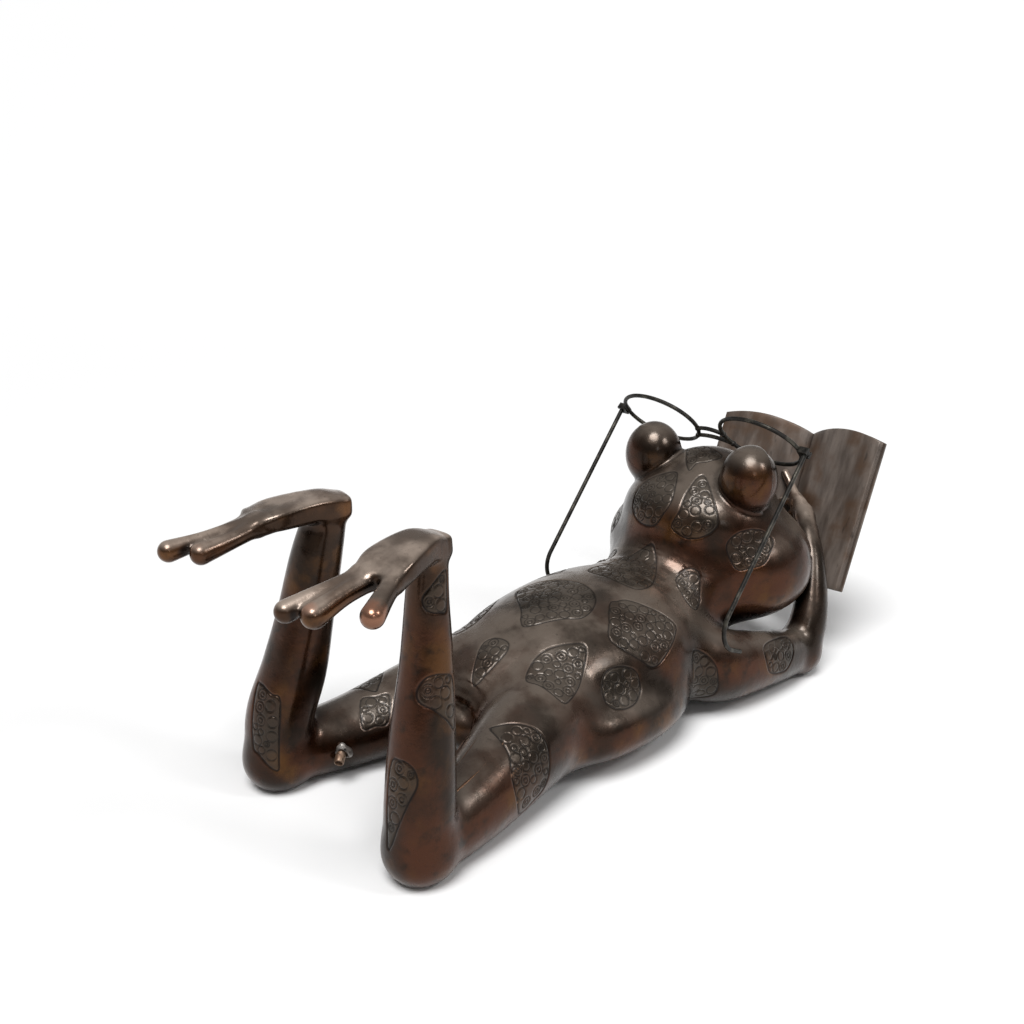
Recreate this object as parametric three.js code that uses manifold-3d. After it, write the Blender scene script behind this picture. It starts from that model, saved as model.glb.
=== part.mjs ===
// Frog fountain statue: a frog lies on its belly and reads a book through wire spectacles.
// Hollow bronze castings meet in pinned lap joints, the spectacles are brazed wire with two
// hinged temples, and a copper line runs from the inlet on the left thigh to the mouth.
// Millimetres, +Z up. The frog faces -Y and its left side is +X.

import * as THREE from 'three';
import { mergeVertices } from 'three/addons/utils/BufferGeometryUtils.js';
import Module from 'manifold-3d';

// Casting and joint sizes
const WALL = 4.5;
const LIP_WALL = 3;
const LAP = 13;
const WEB = 6;
const SEAT_GAP = 0.3;
const PIN_DIAMETER = 5;
const PIN_CLEARANCE = 0.15;
const PIN_REACH = 150;

// Places of the joints, as shares of a limb's length
const NECK_SHARE = 0.91;
const HIP_SHARE = 0.5;
const ANKLE_SHARE = 0.84;
const SHOULDER_SHARE = 0.55;
const WRIST_SHARE = 0.82;
const BEND_SHARE = 0.2;

// Head and eyes, measured from the end of the neck
const HEAD_FORWARD = 35;
const HEAD_RISE = 63;
const JAW_FORWARD = 18;
const JAW_DROP = 50;
const EYE_RADIUS = 31;
const EYE_HALF_SPACING = 62;
const EYE_RISE = 56;
const EYE_CORE_DIAMETER = 38;
const EYE_CORE_RISE = 6;

// Spectacles, in the plane of the lenses
const RIM_HALF_WIDTH = 48;
const RIM_HALF_HEIGHT = 36.5;
const RIM_WIRE = 4.4;
const RIM_HALF_SPACING = 65;
const RIM_RISE = 17.6;
const LENS_TILT = 48;
const UPPER_BRIDGE_DROP = 4;
const LOWER_BRIDGE_DROP = 18;
const BRIDGE_ARCH = 4;
const HINGE_PIN_DIAMETER = 2.4;
const HINGE_PIN_CLEARANCE = 0.3;
const HINGE_OFFSET = 5.5;
const HINGE_EYE_DIAMETER = 6.8;
const HINGE_EYE_THICKNESS = 3.6;
const HINGE_EAR = 3;
const HINGE_DEPTH = 7;
const TEMPLE_WIRE = 4.6;
const TEMPLE_LENGTH = 178;
const TEMPLE_DROP = 9.4;
const TEMPLE_TANG = 6.5;
const HOOK_RADIUS = 26;
const HOOK_TURN = 105;
const HOOK_TAIL = 14;

// Book
const PAGE_WIDTH = 103;
const PAGE_HEIGHT = 170;
const PAGE_EDGE = 9;
const PAGE_HUMP = 18;
const PAGE_ROUND = 26;
const PAGE_FLAT = 41;
const PAGE_GUTTER = 4;
const PAGE_ARCH = 9;
const RIGHT_PAGE_RISE = 6;
const BOOK_SPREAD = 15;
const BOOK_LEAN = 22.4;
const BOOK_AHEAD = 14;
const BOOK_BELOW = 90;
const COVER_THICKNESS = 3;
const COVER_OVERHANG = 3;

// Water line
const TUBE_DIAMETER = 9.5;
const TUBE_BORE = 7.1;
const TUBE_LIFT = 5;
const TUBE_THIGH_SHARES = [0.46, 0.18];
const TUBE_RUMP_SHARE = 0.35;
const TUBE_TORSO_SHARES = [0.55, 0.72, 0.88, 1];
const STUB_SHARE = 0.83;
const STUB_SEAT_RADIUS = 30;
const STUB_REACH = 17;
const STUB_INNER = 27;
const COLLAR_DIAMETER = 16;
const COLLAR_HEIGHT = 6;
const COUPLING_DIAMETER = 13;
const COUPLING_LENGTH = 16;
const NOZZLE_DIAMETER = 15;
const NOZZLE_TIP_DIAMETER = 11;
const NOZZLE_LENGTH = 34;
const NOZZLE_PROUD = 7;

// Facets, and a length that reaches past the whole statue
const LIMB_SIDES = 10;
const BODY_SIDES = 14;
const DIGIT_SIDES = 6;
const WIRE_SIDES = 6;
const ROD_SIDES = 8;
const NOZZLE_SIDES = 12;
const RIM_STEPS = 28;
const BRIDGE_STEPS = 6;
const HOOK_STEPS = 9;
const STRAIGHT_STEPS = 2;
const TOE_CAP_STEPS = 2;
const BALL_COLUMNS = 8;
const BALL_ROWS = 6;
const HEAD_COLUMNS = 14;
const HEAD_ROWS = 8;
const PAGE_CURVE_STEPS = 10;
const COVER_STEPS = 5;
const REACH = 3000;

const RIGHT = -1;
const LEFT = 1;
const vector = (x, y, z) => new THREE.Vector3(x, y, z);
const X_AXIS = vector(1, 0, 0);
const Y_AXIS = vector(0, 1, 0);
const Z_AXIS = vector(0, 0, 1);
const DOWN = vector(0, 0, -1);
const FORWARD = vector(0, -1, 0);
const mirror = (stations) => stations.map(([x, ...rest]) => [-x, ...rest]);
const radians = THREE.MathUtils.degToRad;

// Stations along the frog: x, y, z, half width, half height
const torsoStations = [
  [0, -158, 46, 24, 22], [0, -170, 48, 50, 40], [0, -195, 54, 74, 53], [0, -228, 62, 90, 61],
  [0, -265, 69, 98, 67], [0, -310, 72, 103, 70], [0, -350, 72, 105, 70], [0, -390, 74, 94, 67],
  [0, -430, 88, 75, 61], [0, -465, 112, 66, 52],
];
const rightThighStations = [
  [-54, -210, 54, 52, 50], [-72, -160, 50, 45, 46], [-92, -85, 37, 35, 37], [-102, -22, 30, 29, 31],
];
const leftThighStations = [
  [50, -210, 54, 50, 48], [68, -165, 44, 46, 40], [84, -95, 33, 38, 33], [97, -28, 30, 28, 30],
];
const rightShinStations = [
  [-104, -13, 28, 28, 28], [-103, -12, 70, 28, 28], [-98, -20, 120, 26, 26], [-92, -34, 180, 21, 21],
  [-86, -45, 232, 17, 18], [-83, -52, 266, 16, 16],
];
const leftShinStations = [
  [98, -17, 28, 29, 29], [96, -20, 70, 30, 29], [92, -36, 115, 28, 28], [91, -51, 165, 25, 24],
  [88, -64, 215, 22, 22], [85, -77, 253, 19, 20],
];
const rightUpperArmStations = [
  [-60, -385, 64, 40, 44], [-88, -425, 47, 34, 38], [-99, -490, 37, 28, 30], [-100, -548, 26, 22, 24],
];
const rightForearmStations = [
  [-100, -556, 25, 22, 24], [-99, -573, 62, 19, 20], [-84, -594, 105, 14.5, 15],
  [-64, -613, 135, 11.5, 12], [-44, -632, 149, 10, 10],
];
const leftForearmStations = [
  [100, -556, 25, 22, 24], [99, -572, 58, 19, 20], [94, -589, 88, 14.5, 15],
  [82, -603, 108, 11.5, 12], [66, -616, 120, 10, 10],
];
const rightFootStations = [
  [-83, -60, 277, 15, 9], [-85, -38, 279, 19, 11], [-90, -8, 275, 24, 10], [-94, 8, 270, 22, 8],
];
const leftFootStations = [
  [80, -89, 261, 16, 10], [87, -62, 263, 20, 11], [96, -30, 261, 24, 10], [101, -12, 258, 22, 8],
];
const rightToes = [
  [[-84, 0, 270, 9, 8], [-74, 40, 262, 7, 7], [-66, 74, 252, 9, 9]],
  [[-92, 0, 270, 9, 8], [-89, 36, 262, 8, 8], [-87, 64, 252, 10, 10]],
  [[-100, -10, 272, 9, 8], [-115, 18, 266, 8, 8], [-128, 42, 258, 9.5, 9.5]],
];
const leftToes = [
  [[90, -10, 258, 9, 8], [86, 22, 253, 7.5, 7.5], [88, 51, 248, 9.5, 9.5]],
  [[98, -10, 258, 9, 8], [104, 36, 253, 7, 7], [112, 67, 248, 9.5, 9.5]],
  [[106, -20, 258, 9, 8], [114, 8, 250, 7.5, 7.5], [120, 30, 244, 9, 9]],
];
const rightPalmStations = [
  [-48, -628, 147, 10.5, 9.5], [-30, -645, 151, 11, 8.5], [-18, -655, 153, 9, 7],
];
const leftPalmStations = [
  [70, -612, 118, 10.5, 9.5], [52, -627, 122, 11, 8.5], [40, -637, 124, 9, 7],
];
const rightFingers = [
  [[-22, -651, 154, 6.5, 6], [-3, -667, 162, 5.2, 5], [12, -674, 174, 5, 5]],
  [[-22, -651, 150, 6.5, 6], [-6, -661, 147, 5.2, 5], [8, -666, 143, 5, 5]],
  [[-24, -649, 148, 6.5, 6], [-14, -655, 136, 5.2, 5], [-4, -661, 126, 5, 5]],
];
const leftFingers = [
  [[44, -634, 125, 6.5, 6], [30, -645, 134, 5.2, 5], [18, -655, 144, 5, 5]],
  [[44, -634, 121, 6.5, 6], [30, -642, 118, 5.2, 5], [18, -647, 114, 5, 5]],
  [[46, -632, 119, 6.5, 6], [37, -634, 106, 5.2, 5], [28, -636, 95, 5, 5]],
];
const bellyBall = { centre: [0, -280, 42], radii: [124, 132, 46] };
const [, neckEndY, neckEndZ] = torsoStations[torsoStations.length - 1];
const headY = neckEndY - HEAD_FORWARD;
const skullZ = neckEndZ + HEAD_RISE;
const eyeZ = skullZ + EYE_RISE;
const skullBall = { centre: [0, headY, skullZ], radii: [85, 72, 50] };
const jawBall = { centre: [0, headY - JAW_FORWARD, skullZ - JAW_DROP], radii: [118, 84, 69] };
const eyeBalls = [RIGHT, LEFT].map((side) => ({
  centre: [side * EYE_HALF_SPACING, headY, eyeZ],
  radii: [EYE_RADIUS, EYE_RADIUS, EYE_RADIUS],
}));
const rightKneeBall = { centre: [-104, -17, 29], radii: [28, 30, 30] };
const leftKneeBall = { centre: [99, -17, 28], radii: [29, 31, 29] };
const rightElbowBall = { centre: [-99, -555, 24], radii: [22, 24, 24] };
const mirrorBall = (ball) => ({ centre: mirror([ball.centre])[0], radii: ball.radii });

// Solids for joining and cutting
const wasm = await Module();
wasm.setup();

function solidOf(geometry) {
  const bare = new THREE.BufferGeometry();
  bare.setAttribute('position', geometry.getAttribute('position'));
  bare.setIndex(geometry.getIndex());
  const merged = mergeVertices(bare);
  return new wasm.Manifold(new wasm.Mesh({
    numProp: 3,
    vertProperties: Float32Array.from(merged.getAttribute('position').array),
    triVerts: Uint32Array.from(merged.getIndex().array),
  }));
}

function geometryOf(solid) {
  const mesh = solid.getMesh();
  const geometry = new THREE.BufferGeometry();
  geometry.setAttribute('position', new THREE.BufferAttribute(mesh.vertProperties, 3));
  geometry.setIndex(new THREE.BufferAttribute(mesh.triVerts, 1));
  return geometry;
}

const union = (solids) => solids.reduce((whole, solid) => whole.add(solid));

// A skin over rings of points, all with the same count: capped at both ends, or closed on itself
function skinOver(rings, loop = false) {
  const sides = rings[0].length;
  const positions = rings.flat().flatMap((point) => [point.x, point.y, point.z]);
  const index = [];
  const spans = loop ? rings.length : rings.length - 1;
  for (let ring = 0; ring < spans; ring += 1) {
    const low = ring * sides;
    const high = ((ring + 1) % rings.length) * sides;
    for (let side = 0; side < sides; side += 1) {
      const next = (side + 1) % sides;
      index.push(low + side, low + next, high + next, low + side, high + next, high + side);
    }
  }
  const last = (rings.length - 1) * sides;
  for (let side = 1; side + 1 < sides && !loop; side += 1) {
    index.push(0, side + 1, side, last, last + side, last + side + 1);
  }
  const geometry = new THREE.BufferGeometry();
  geometry.setAttribute('position', new THREE.Float32BufferAttribute(positions, 3));
  geometry.setIndex(index);
  return geometry;
}

function ellipseRing(centre, along, up, halfWidth, halfHeight, sides) {
  const high = up.clone().addScaledVector(along, -up.dot(along)).normalize();
  const wide = high.clone().cross(along);
  return Array.from({ length: sides }, (_, side) => {
    const angle = (2 * Math.PI * side) / sides;
    return centre.clone()
      .addScaledVector(wide, Math.cos(angle) * halfWidth)
      .addScaledVector(high, Math.sin(angle) * halfHeight);
  });
}

const smooth = (points) => new THREE.CatmullRomCurve3(points, false, 'catmullrom');
const centreLine = (stations) => smooth(stations.map(([x, y, z]) => vector(x, y, z)));

// A limb swept through its stations, with every radius grown by the same amount
function loft(stations, up, grow, sides = LIMB_SIDES) {
  const line = centreLine(stations);
  const rings = stations.map(([x, y, z, halfWidth, halfHeight], station) => {
    const along = line.getTangent(station / (stations.length - 1));
    return ellipseRing(vector(x, y, z), along, up, halfWidth + grow, halfHeight + grow, sides);
  });
  return solidOf(skinOver(rings));
}

// A toe with a round ball at its tip
function toeSolid(stations) {
  const line = centreLine(stations);
  const rings = stations.map(([x, y, z, halfWidth, halfHeight], station) => {
    const along = line.getTangent(station / (stations.length - 1));
    return ellipseRing(vector(x, y, z), along, Z_AXIS, halfWidth, halfHeight, DIGIT_SIDES);
  });
  const [x, y, z, tipRadius] = stations[stations.length - 1];
  const along = line.getTangent(1);
  const cap = Array.from({ length: TOE_CAP_STEPS }, (_, step) => {
    const angle = ((step + 1) / (TOE_CAP_STEPS + 0.5)) * (Math.PI / 2);
    const centre = vector(x, y, z).addScaledVector(along, tipRadius * Math.sin(angle));
    const radius = tipRadius * Math.cos(angle);
    return ellipseRing(centre, along, Z_AXIS, radius, radius, DIGIT_SIDES);
  });
  return solidOf(skinOver([...rings, ...cap]));
}

function ball({ centre, radii }, grow, columns = BALL_COLUMNS, rows = BALL_ROWS) {
  const geometry = new THREE.SphereGeometry(1, columns, rows);
  geometry.scale(radii[0] + grow, radii[1] + grow, radii[2] + grow);
  geometry.translate(...centre);
  return solidOf(geometry);
}

// A round rod between two points
function rod(from, to, diameter, sides = ROD_SIDES) {
  const length = from.distanceTo(to);
  const geometry = new THREE.CylinderGeometry(diameter / 2, diameter / 2, length, sides);
  const along = to.clone().sub(from).normalize();
  geometry.applyQuaternion(new THREE.Quaternion().setFromUnitVectors(Y_AXIS, along));
  geometry.translate(...from.clone().lerp(to, 0.5).toArray());
  return solidOf(geometry);
}

// A cut whose flats clear a round bar of the given diameter by a clearance all round
const clearDiameter = (diameter, clearance, sides) => (
  (diameter + 2 * clearance) / Math.cos(Math.PI / sides));
function clearHole(from, to, diameter, clearance, sides = ROD_SIDES) {
  return rod(from, to, clearDiameter(diameter, clearance, sides), sides);
}

// Round sections along a list of points
function ringsAlong(points, diameter, up, sides) {
  const line = new THREE.CatmullRomCurve3(points, false, 'centripetal');
  return points.map((point, step) => {
    const along = line.getTangent(step / (points.length - 1));
    return ellipseRing(point, along, up, diameter / 2, diameter / 2, sides);
  });
}

function wire(points, diameter, up = X_AXIS, sides = WIRE_SIDES) {
  return solidOf(skinOver(ringsAlong(points, diameter, up, sides)));
}

// A tube along a list of points: its outer skin there, and its bore back again
function tube(points, diameter, bore) {
  const outer = ringsAlong(points, diameter, X_AXIS, ROD_SIDES);
  const inner = ringsAlong(points, bore, X_AXIS, ROD_SIDES);
  return solidOf(skinOver([...outer, ...inner.reverse()], true));
}

// The space between two planes square to a joint's normal
function slab(joint, from, to) {
  const geometry = new THREE.BoxGeometry(REACH, REACH, to - from);
  geometry.translate(0, 0, (from + to) / 2);
  geometry.applyQuaternion(new THREE.Quaternion().setFromUnitVectors(Z_AXIS, joint.normal));
  geometry.translate(...joint.point.toArray());
  return solidOf(geometry);
}
const ahead = (joint) => slab(joint, SEAT_GAP / 2, REACH);
const behind = (joint) => slab(joint, -REACH, -SEAT_GAP / 2);
const aboveFloor = (height) => slab({ point: vector(0, 0, height), normal: Z_AXIS }, 0, REACH);

// A limb as four nested solids: skin, bore, and the two faces of a joint's lip
function nested(build, buildSkin = build) {
  const grown = (grow) => build(grow).intersect(aboveFloor(-grow));
  return {
    skin: buildSkin(0).intersect(aboveFloor(0)),
    bore: grown(-WALL),
    lipFace: grown(-WALL - SEAT_GAP),
    lipBore: grown(-WALL - SEAT_GAP - LIP_WALL),
  };
}

// One casting of a limb beyond a joint: its skin, hollow past a root, and a lip into the casting
// before it. Where the water line passes, the root and the lip are open.
function casting(limb, joint, block, open) {
  const root = open ? LAP : WEB;
  const hollow = block.subtract(limb.bore.intersect(slab(joint, root, REACH)));
  const lipped = hollow.add(limb.lipFace.intersect(slab(joint, -LAP, root / 2)));
  return open ? lipped.subtract(limb.lipBore.intersect(slab(joint, -2 * LAP, 2 * LAP))) : lipped;
}
const between = (limb, joint, next) => limb.skin.intersect(ahead(joint)).intersect(behind(next));
const spigot = (limb, joint) => limb.lipFace.intersect(slab(joint, -LAP, WEB));
const socket = (limb, joint) => limb.bore.intersect(slab(joint, -LAP - SEAT_GAP, SEAT_GAP));

function pinAxis(joint, away) {
  const outward = away.clone().addScaledVector(joint.normal, -away.dot(joint.normal)).normalize();
  const start = joint.point.clone().addScaledVector(joint.normal, -LAP / 2);
  return { start, end: start.clone().addScaledVector(outward, PIN_REACH) };
}
const pinHole = (axis) => clearHole(axis.start, axis.end, PIN_DIAMETER, PIN_CLEARANCE);
const jointPin = (limb, axis) => rod(axis.start, axis.end, PIN_DIAMETER).intersect(limb.skin);

function jointAt(stations, share) {
  const line = centreLine(stations);
  return { point: line.getPoint(share), normal: line.getTangent(share) };
}

function mitre(firstStations, secondStations, centre) {
  const arriving = centreLine(firstStations).getTangent(1);
  const leaving = centreLine(secondStations).getTangent(BEND_SHARE);
  return { point: vector(...centre), normal: arriving.add(leaving).normalize() };
}

// Metals
const METALNESS = 0.85;
const bronze = (color, roughness) => (
  new THREE.MeshStandardMaterial({ color, roughness, metalness: METALNESS }));
const skinBronze = bronze('#4a3527', 0.38);
const footBronze = bronze('#5b3f2b', 0.36);
const bookBronze = bronze('#57504a', 0.45);
const pinBronze = bronze('#6b4f34', 0.4);
const darkWire = bronze('#2b2826', 0.4);
const copper = bronze('#8a5434', 0.35);

// A named mesh, without the slivers that a cut may leave beside the piece itself
const statue = new THREE.Group();
const larger = (one, other) => (one.volume() > other.volume() ? one : other);
function place(name, solid, material, group = statue) {
  const piece = solid.decompose().reduce(larger);
  const mesh = new THREE.Mesh(geometryOf(piece), material);
  mesh.name = name;
  group.add(mesh);
  return mesh;
}

// Arms: upper arm, forearm and hand on each side
function armCastings(upper, fore, elbowBall, palm, fingers) {
  const upperLimb = nested((grow) => loft(upper, Z_AXIS, grow).add(ball(elbowBall, grow)));
  const foreLimb = nested((grow) => loft(fore, Y_AXIS, grow).add(ball(elbowBall, grow)));
  return {
    upper, upperLimb, foreLimb, palm, fingers,
    shoulder: jointAt(upper, SHOULDER_SHARE),
    elbow: mitre(upper, fore, elbowBall.centre),
    wrist: jointAt(fore, WRIST_SHARE),
  };
}

// Legs: thigh, shin and foot on each side
function legCastings(thigh, shin, kneeBall, foot, toes) {
  const thighLimb = nested((grow) => loft(thigh, Z_AXIS, grow).add(ball(kneeBall, grow)));
  const shinLimb = nested((grow) => loft(shin, Y_AXIS, grow).add(ball(kneeBall, grow)));
  return {
    thigh, thighLimb, shinLimb, foot, toes,
    hip: jointAt(thigh, HIP_SHARE),
    knee: mitre(thigh, shin, kneeBall.centre),
    ankle: jointAt(shin, ANKLE_SHARE),
  };
}

const arms = {
  right: armCastings(rightUpperArmStations, rightForearmStations, rightElbowBall, rightPalmStations,
    rightFingers),
  left: armCastings(mirror(rightUpperArmStations), leftForearmStations, mirrorBall(rightElbowBall),
    leftPalmStations, leftFingers),
};
const legs = {
  right: legCastings(rightThighStations, rightShinStations, rightKneeBall, rightFootStations, rightToes),
  left: legCastings(leftThighStations, leftShinStations, leftKneeBall, leftFootStations, leftToes),
};

// Torso with its hip and shoulder stubs, and the neck joint
const torsoBody = (grow) => loft(torsoStations, Z_AXIS, grow, BODY_SIDES);
const bellied = (grow) => torsoBody(grow).add(ball(bellyBall, grow, HEAD_COLUMNS, HEAD_ROWS));
const torsoLimb = nested(torsoBody, bellied);
const neck = jointAt(torsoStations, NECK_SHARE);
const neckPinAxis = pinAxis(neck, DOWN);
const torsoStubs = [
  { limb: legs.right.thighLimb, joint: legs.right.hip },
  { limb: legs.left.thighLimb, joint: legs.left.hip },
  { limb: arms.right.upperLimb, joint: arms.right.shoulder },
  { limb: arms.left.upperLimb, joint: arms.left.shoulder },
];
const torsoSkin = union([torsoLimb.skin.intersect(behind(neck)),
  ...torsoStubs.map(({ limb, joint }) => limb.skin.intersect(behind(joint)))]);
const torsoBore = union([torsoLimb.bore, ...torsoStubs.map(({ limb }) => limb.bore)]);
const stubPins = [
  ['right_hip_pin', legs.right.thighLimb, pinAxis(legs.right.hip, DOWN)],
  ['left_hip_pin', legs.left.thighLimb, pinAxis(legs.left.hip, DOWN)],
  ['right_shoulder_pin', arms.right.upperLimb, pinAxis(arms.right.shoulder, DOWN)],
  ['left_shoulder_pin', arms.left.upperLimb, pinAxis(arms.left.shoulder, DOWN)],
  ['neck_pin', torsoLimb, neckPinAxis],
];
const stubHoles = union(stubPins.map(([, , axis]) => pinHole(axis)));
place('torso_shell', torsoSkin.subtract(torsoBore).subtract(stubHoles), skinBronze);
for (const [name, limb, axis] of stubPins) {
  place(name, jointPin(limb, axis).subtract(limb.lipBore), pinBronze);
}

// Water line: a stub on the inner side of the left thigh, a coupling, a tube and a nozzle
const thighPoint = centreLine(leftThighStations).getPoint(STUB_SHARE);
const stubSide = vector(-0.995, 0, 0.1);
const stubAway = vector(-0.55, 0.7, -0.45).normalize();
const stubSeat = thighPoint.addScaledVector(stubSide, STUB_SEAT_RADIUS);
const stubEnd = stubSeat.clone().addScaledVector(stubAway, STUB_REACH);
const stubStart = stubSeat.clone().addScaledVector(stubAway, -STUB_INNER);
const mouthAway = vector(0, -0.98, 0.2).normalize();
const lipPoint = vector(0, jawBall.centre[1] - jawBall.radii[1], jawBall.centre[2]);
const nozzleTip = lipPoint.clone().addScaledVector(mouthAway, NOZZLE_PROUD);
const nozzleRoot = nozzleTip.clone().addScaledVector(mouthAway, -NOZZLE_LENGTH);
const tubeStart = stubStart.clone().addScaledVector(stubAway, -SEAT_GAP);
const tubeEnd = nozzleRoot.clone().addScaledVector(mouthAway, -SEAT_GAP);
const thighLine = centreLine(leftThighStations);
const torsoLine = centreLine(torsoStations);
const tubeRoute = [
  tubeStart,
  tubeStart.clone().addScaledVector(stubAway, -COUPLING_LENGTH),
  ...TUBE_THIGH_SHARES.map((share) => thighLine.getPoint(share).addScaledVector(Z_AXIS, TUBE_LIFT)),
  thighLine.getPoint(0).lerp(torsoLine.getPoint(TUBE_RUMP_SHARE), 0.5),
  ...TUBE_TORSO_SHARES.map((share) => torsoLine.getPoint(share)),
  vector(...jawBall.centre),
  tubeEnd.clone().addScaledVector(mouthAway, -COUPLING_LENGTH),
  tubeEnd,
];
const stubHole = clearHole(stubEnd, stubStart, TUBE_DIAMETER, SEAT_GAP);
place('inlet_stub', tube([stubEnd, stubStart], TUBE_DIAMETER, TUBE_BORE), copper);
const collarTop = stubSeat.clone().addScaledVector(stubAway, COLLAR_HEIGHT);
const collarBlank = rod(stubStart, collarTop, COLLAR_DIAMETER, NOZZLE_SIDES);

// Head with its neck, skull, jaw and eyes
const headBall = (one, grow) => ball(one, grow, HEAD_COLUMNS, HEAD_ROWS);
const faceAndJaw = (grow) => headBall(skullBall, grow).add(headBall(jawBall, grow));
const eyeSkins = union(eyeBalls.map((eye) => ball(eye, 0, LIMB_SIDES, HEAD_ROWS)));
const eyeCores = union(eyeBalls.map(({ centre: [x, y, z] }) => (
  rod(vector(x, y, skullZ), vector(x, y, z + EYE_CORE_RISE), EYE_CORE_DIAMETER))));
const headSkin = torsoLimb.skin.intersect(ahead(neck)).add(faceAndJaw(0)).add(eyeSkins);
const headBore = faceAndJaw(-WALL).add(eyeCores).subtract(slab(neck, -REACH, LAP));
const nozzleHole = clearHole(nozzleRoot, nozzleTip, NOZZLE_DIAMETER, SEAT_GAP, NOZZLE_SIDES);
const headShell = casting(torsoLimb, neck, headSkin.subtract(headBore), true);
place('head_shell', headShell.subtract(pinHole(neckPinAxis)).subtract(nozzleHole), skinBronze);

// Limb castings
function placeLeg(side, leg, open, holes) {
  const { thighLimb, shinLimb, hip, knee, ankle } = leg;
  const hipHole = pinHole(pinAxis(hip, DOWN));
  const kneeAxis = pinAxis(knee, DOWN);
  const ankleAxis = pinAxis(ankle, Y_AXIS);
  const thighCasting = casting(thighLimb, hip, between(thighLimb, hip, knee), open);
  const pinnedThigh = thighCasting.subtract(hipHole).subtract(pinHole(kneeAxis));
  const thigh = pinnedThigh.subtract(socket(shinLimb, knee));
  place(`${side}_thigh`, holes.reduce((solid, hole) => solid.subtract(hole), thigh), skinBronze);
  place(`${side}_knee_pin`, jointPin(thighLimb, kneeAxis), pinBronze);
  const shin = casting(shinLimb, knee, between(shinLimb, knee, ankle), false);
  place(`${side}_shin`, shin.subtract(pinHole(kneeAxis)).subtract(pinHole(ankleAxis)), skinBronze);
  place(`${side}_ankle_pin`, jointPin(shinLimb, ankleAxis), pinBronze);
  const sole = loft(leg.foot, Z_AXIS, 0);
  const foot = union([shinLimb.skin.intersect(ahead(ankle)), sole, ...leg.toes.map(toeSolid)]);
  place(`${side}_foot`, foot.add(spigot(shinLimb, ankle)).subtract(pinHole(ankleAxis)), footBronze);
}
placeLeg('right', legs.right, false, []);
placeLeg('left', legs.left, true, [stubHole]);
const thighSeat = loft(leftThighStations, Z_AXIS, SEAT_GAP).add(ball(leftKneeBall, SEAT_GAP));
place('inlet_collar', collarBlank.subtract(thighSeat).subtract(stubHole), copper);
const couplingStart = stubStart.clone().addScaledVector(stubAway, COUPLING_LENGTH / 2);
const couplingEnd = stubStart.clone().addScaledVector(stubAway, -COUPLING_LENGTH / 2);
const couplingBore = clearDiameter(TUBE_DIAMETER, SEAT_GAP, ROD_SIDES);
place('tube_coupling', tube([couplingStart, couplingEnd], COUPLING_DIAMETER, couplingBore), copper);
place('supply_tube', tube(tubeRoute, TUBE_DIAMETER, TUBE_BORE), copper);
const nozzleRing = (point, diameter) => (
  ellipseRing(point, mouthAway, X_AXIS, diameter / 2, diameter / 2, NOZZLE_SIDES));
const nozzleRings = [
  nozzleRing(nozzleRoot, NOZZLE_DIAMETER), nozzleRing(nozzleTip, NOZZLE_TIP_DIAMETER),
  nozzleRing(nozzleTip, TUBE_BORE), nozzleRing(nozzleRoot, TUBE_BORE),
];
place('spout_nozzle', solidOf(skinOver(nozzleRings, true)), copper);

// Book: a bent cover plate and two page blocks, in the book's own turned frame
const book = new THREE.Group();
const [, wristY, wristZ] = rightForearmStations[rightForearmStations.length - 1];
book.position.set(0, wristY - BOOK_AHEAD, wristZ - BOOK_BELOW);
book.rotation.x = radians(BOOK_LEAN);
book.updateMatrixWorld();
statue.add(book);
const spread = Math.tan(radians(BOOK_SPREAD));
function coverShape() {
  const reach = PAGE_WIDTH + COVER_OVERHANG;
  const across = Array.from({ length: 2 * COVER_STEPS + 1 }, (_, step) => reach * (step / COVER_STEPS - 1));
  const face = across.map((x) => new THREE.Vector2(x, Math.abs(x) * spread));
  const back = across.map((x) => new THREE.Vector2(x, Math.abs(x) * spread - COVER_THICKNESS));
  return new THREE.Shape([...back, ...face.reverse()]);
}
function pageShape(grow) {
  const onCover = (x) => x * spread + SEAT_GAP;
  const flat = PAGE_WIDTH - PAGE_FLAT;
  const inner = SEAT_GAP / 2;
  const shape = new THREE.Shape();
  shape.moveTo(inner, onCover(inner));
  shape.lineTo(PAGE_WIDTH, onCover(PAGE_WIDTH));
  shape.lineTo(PAGE_WIDTH, onCover(PAGE_WIDTH) + PAGE_EDGE + grow);
  shape.bezierCurveTo(flat, onCover(flat) + PAGE_HUMP + grow,
    PAGE_ROUND, onCover(PAGE_ROUND) + PAGE_HUMP + grow, inner, PAGE_GUTTER + grow);
  return shape;
}
const extrude = (shape) => new THREE.ExtrudeGeometry(
  shape, { depth: PAGE_HEIGHT, bevelEnabled: false, curveSegments: PAGE_CURVE_STEPS });
// The top edges arch from the gutter to the corners, and the right half stands higher at its outer edge
function archTop(geometry) {
  const points = geometry.attributes.position;
  for (let index = 0; index < points.count; index += 1) {
    const x = points.getX(index);
    const z = points.getZ(index);
    const share = Math.min(Math.abs(x) / PAGE_WIDTH, 1);
    const rise = x < 0 ? RIGHT_PAGE_RISE * share : 0;
    const arch = z > 0 ? 4 * PAGE_ARCH * share * (1 - share) : 0;
    points.setZ(index, z + rise + arch);
  }
  return geometry;
}
function pageGeometry(side, grow) {
  const geometry = extrude(pageShape(grow));
  if (side === LEFT) return archTop(geometry);
  geometry.rotateZ(Math.PI);
  geometry.rotateX(Math.PI);
  geometry.translate(0, 0, PAGE_HEIGHT);
  return archTop(geometry);
}
place('book_cover', solidOf(archTop(extrude(coverShape()))), bookBronze, book);
place('book_right_pages', solidOf(pageGeometry(RIGHT, 0)), bookBronze, book);
place('book_left_pages', solidOf(pageGeometry(LEFT, 0)), bookBronze, book);
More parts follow.
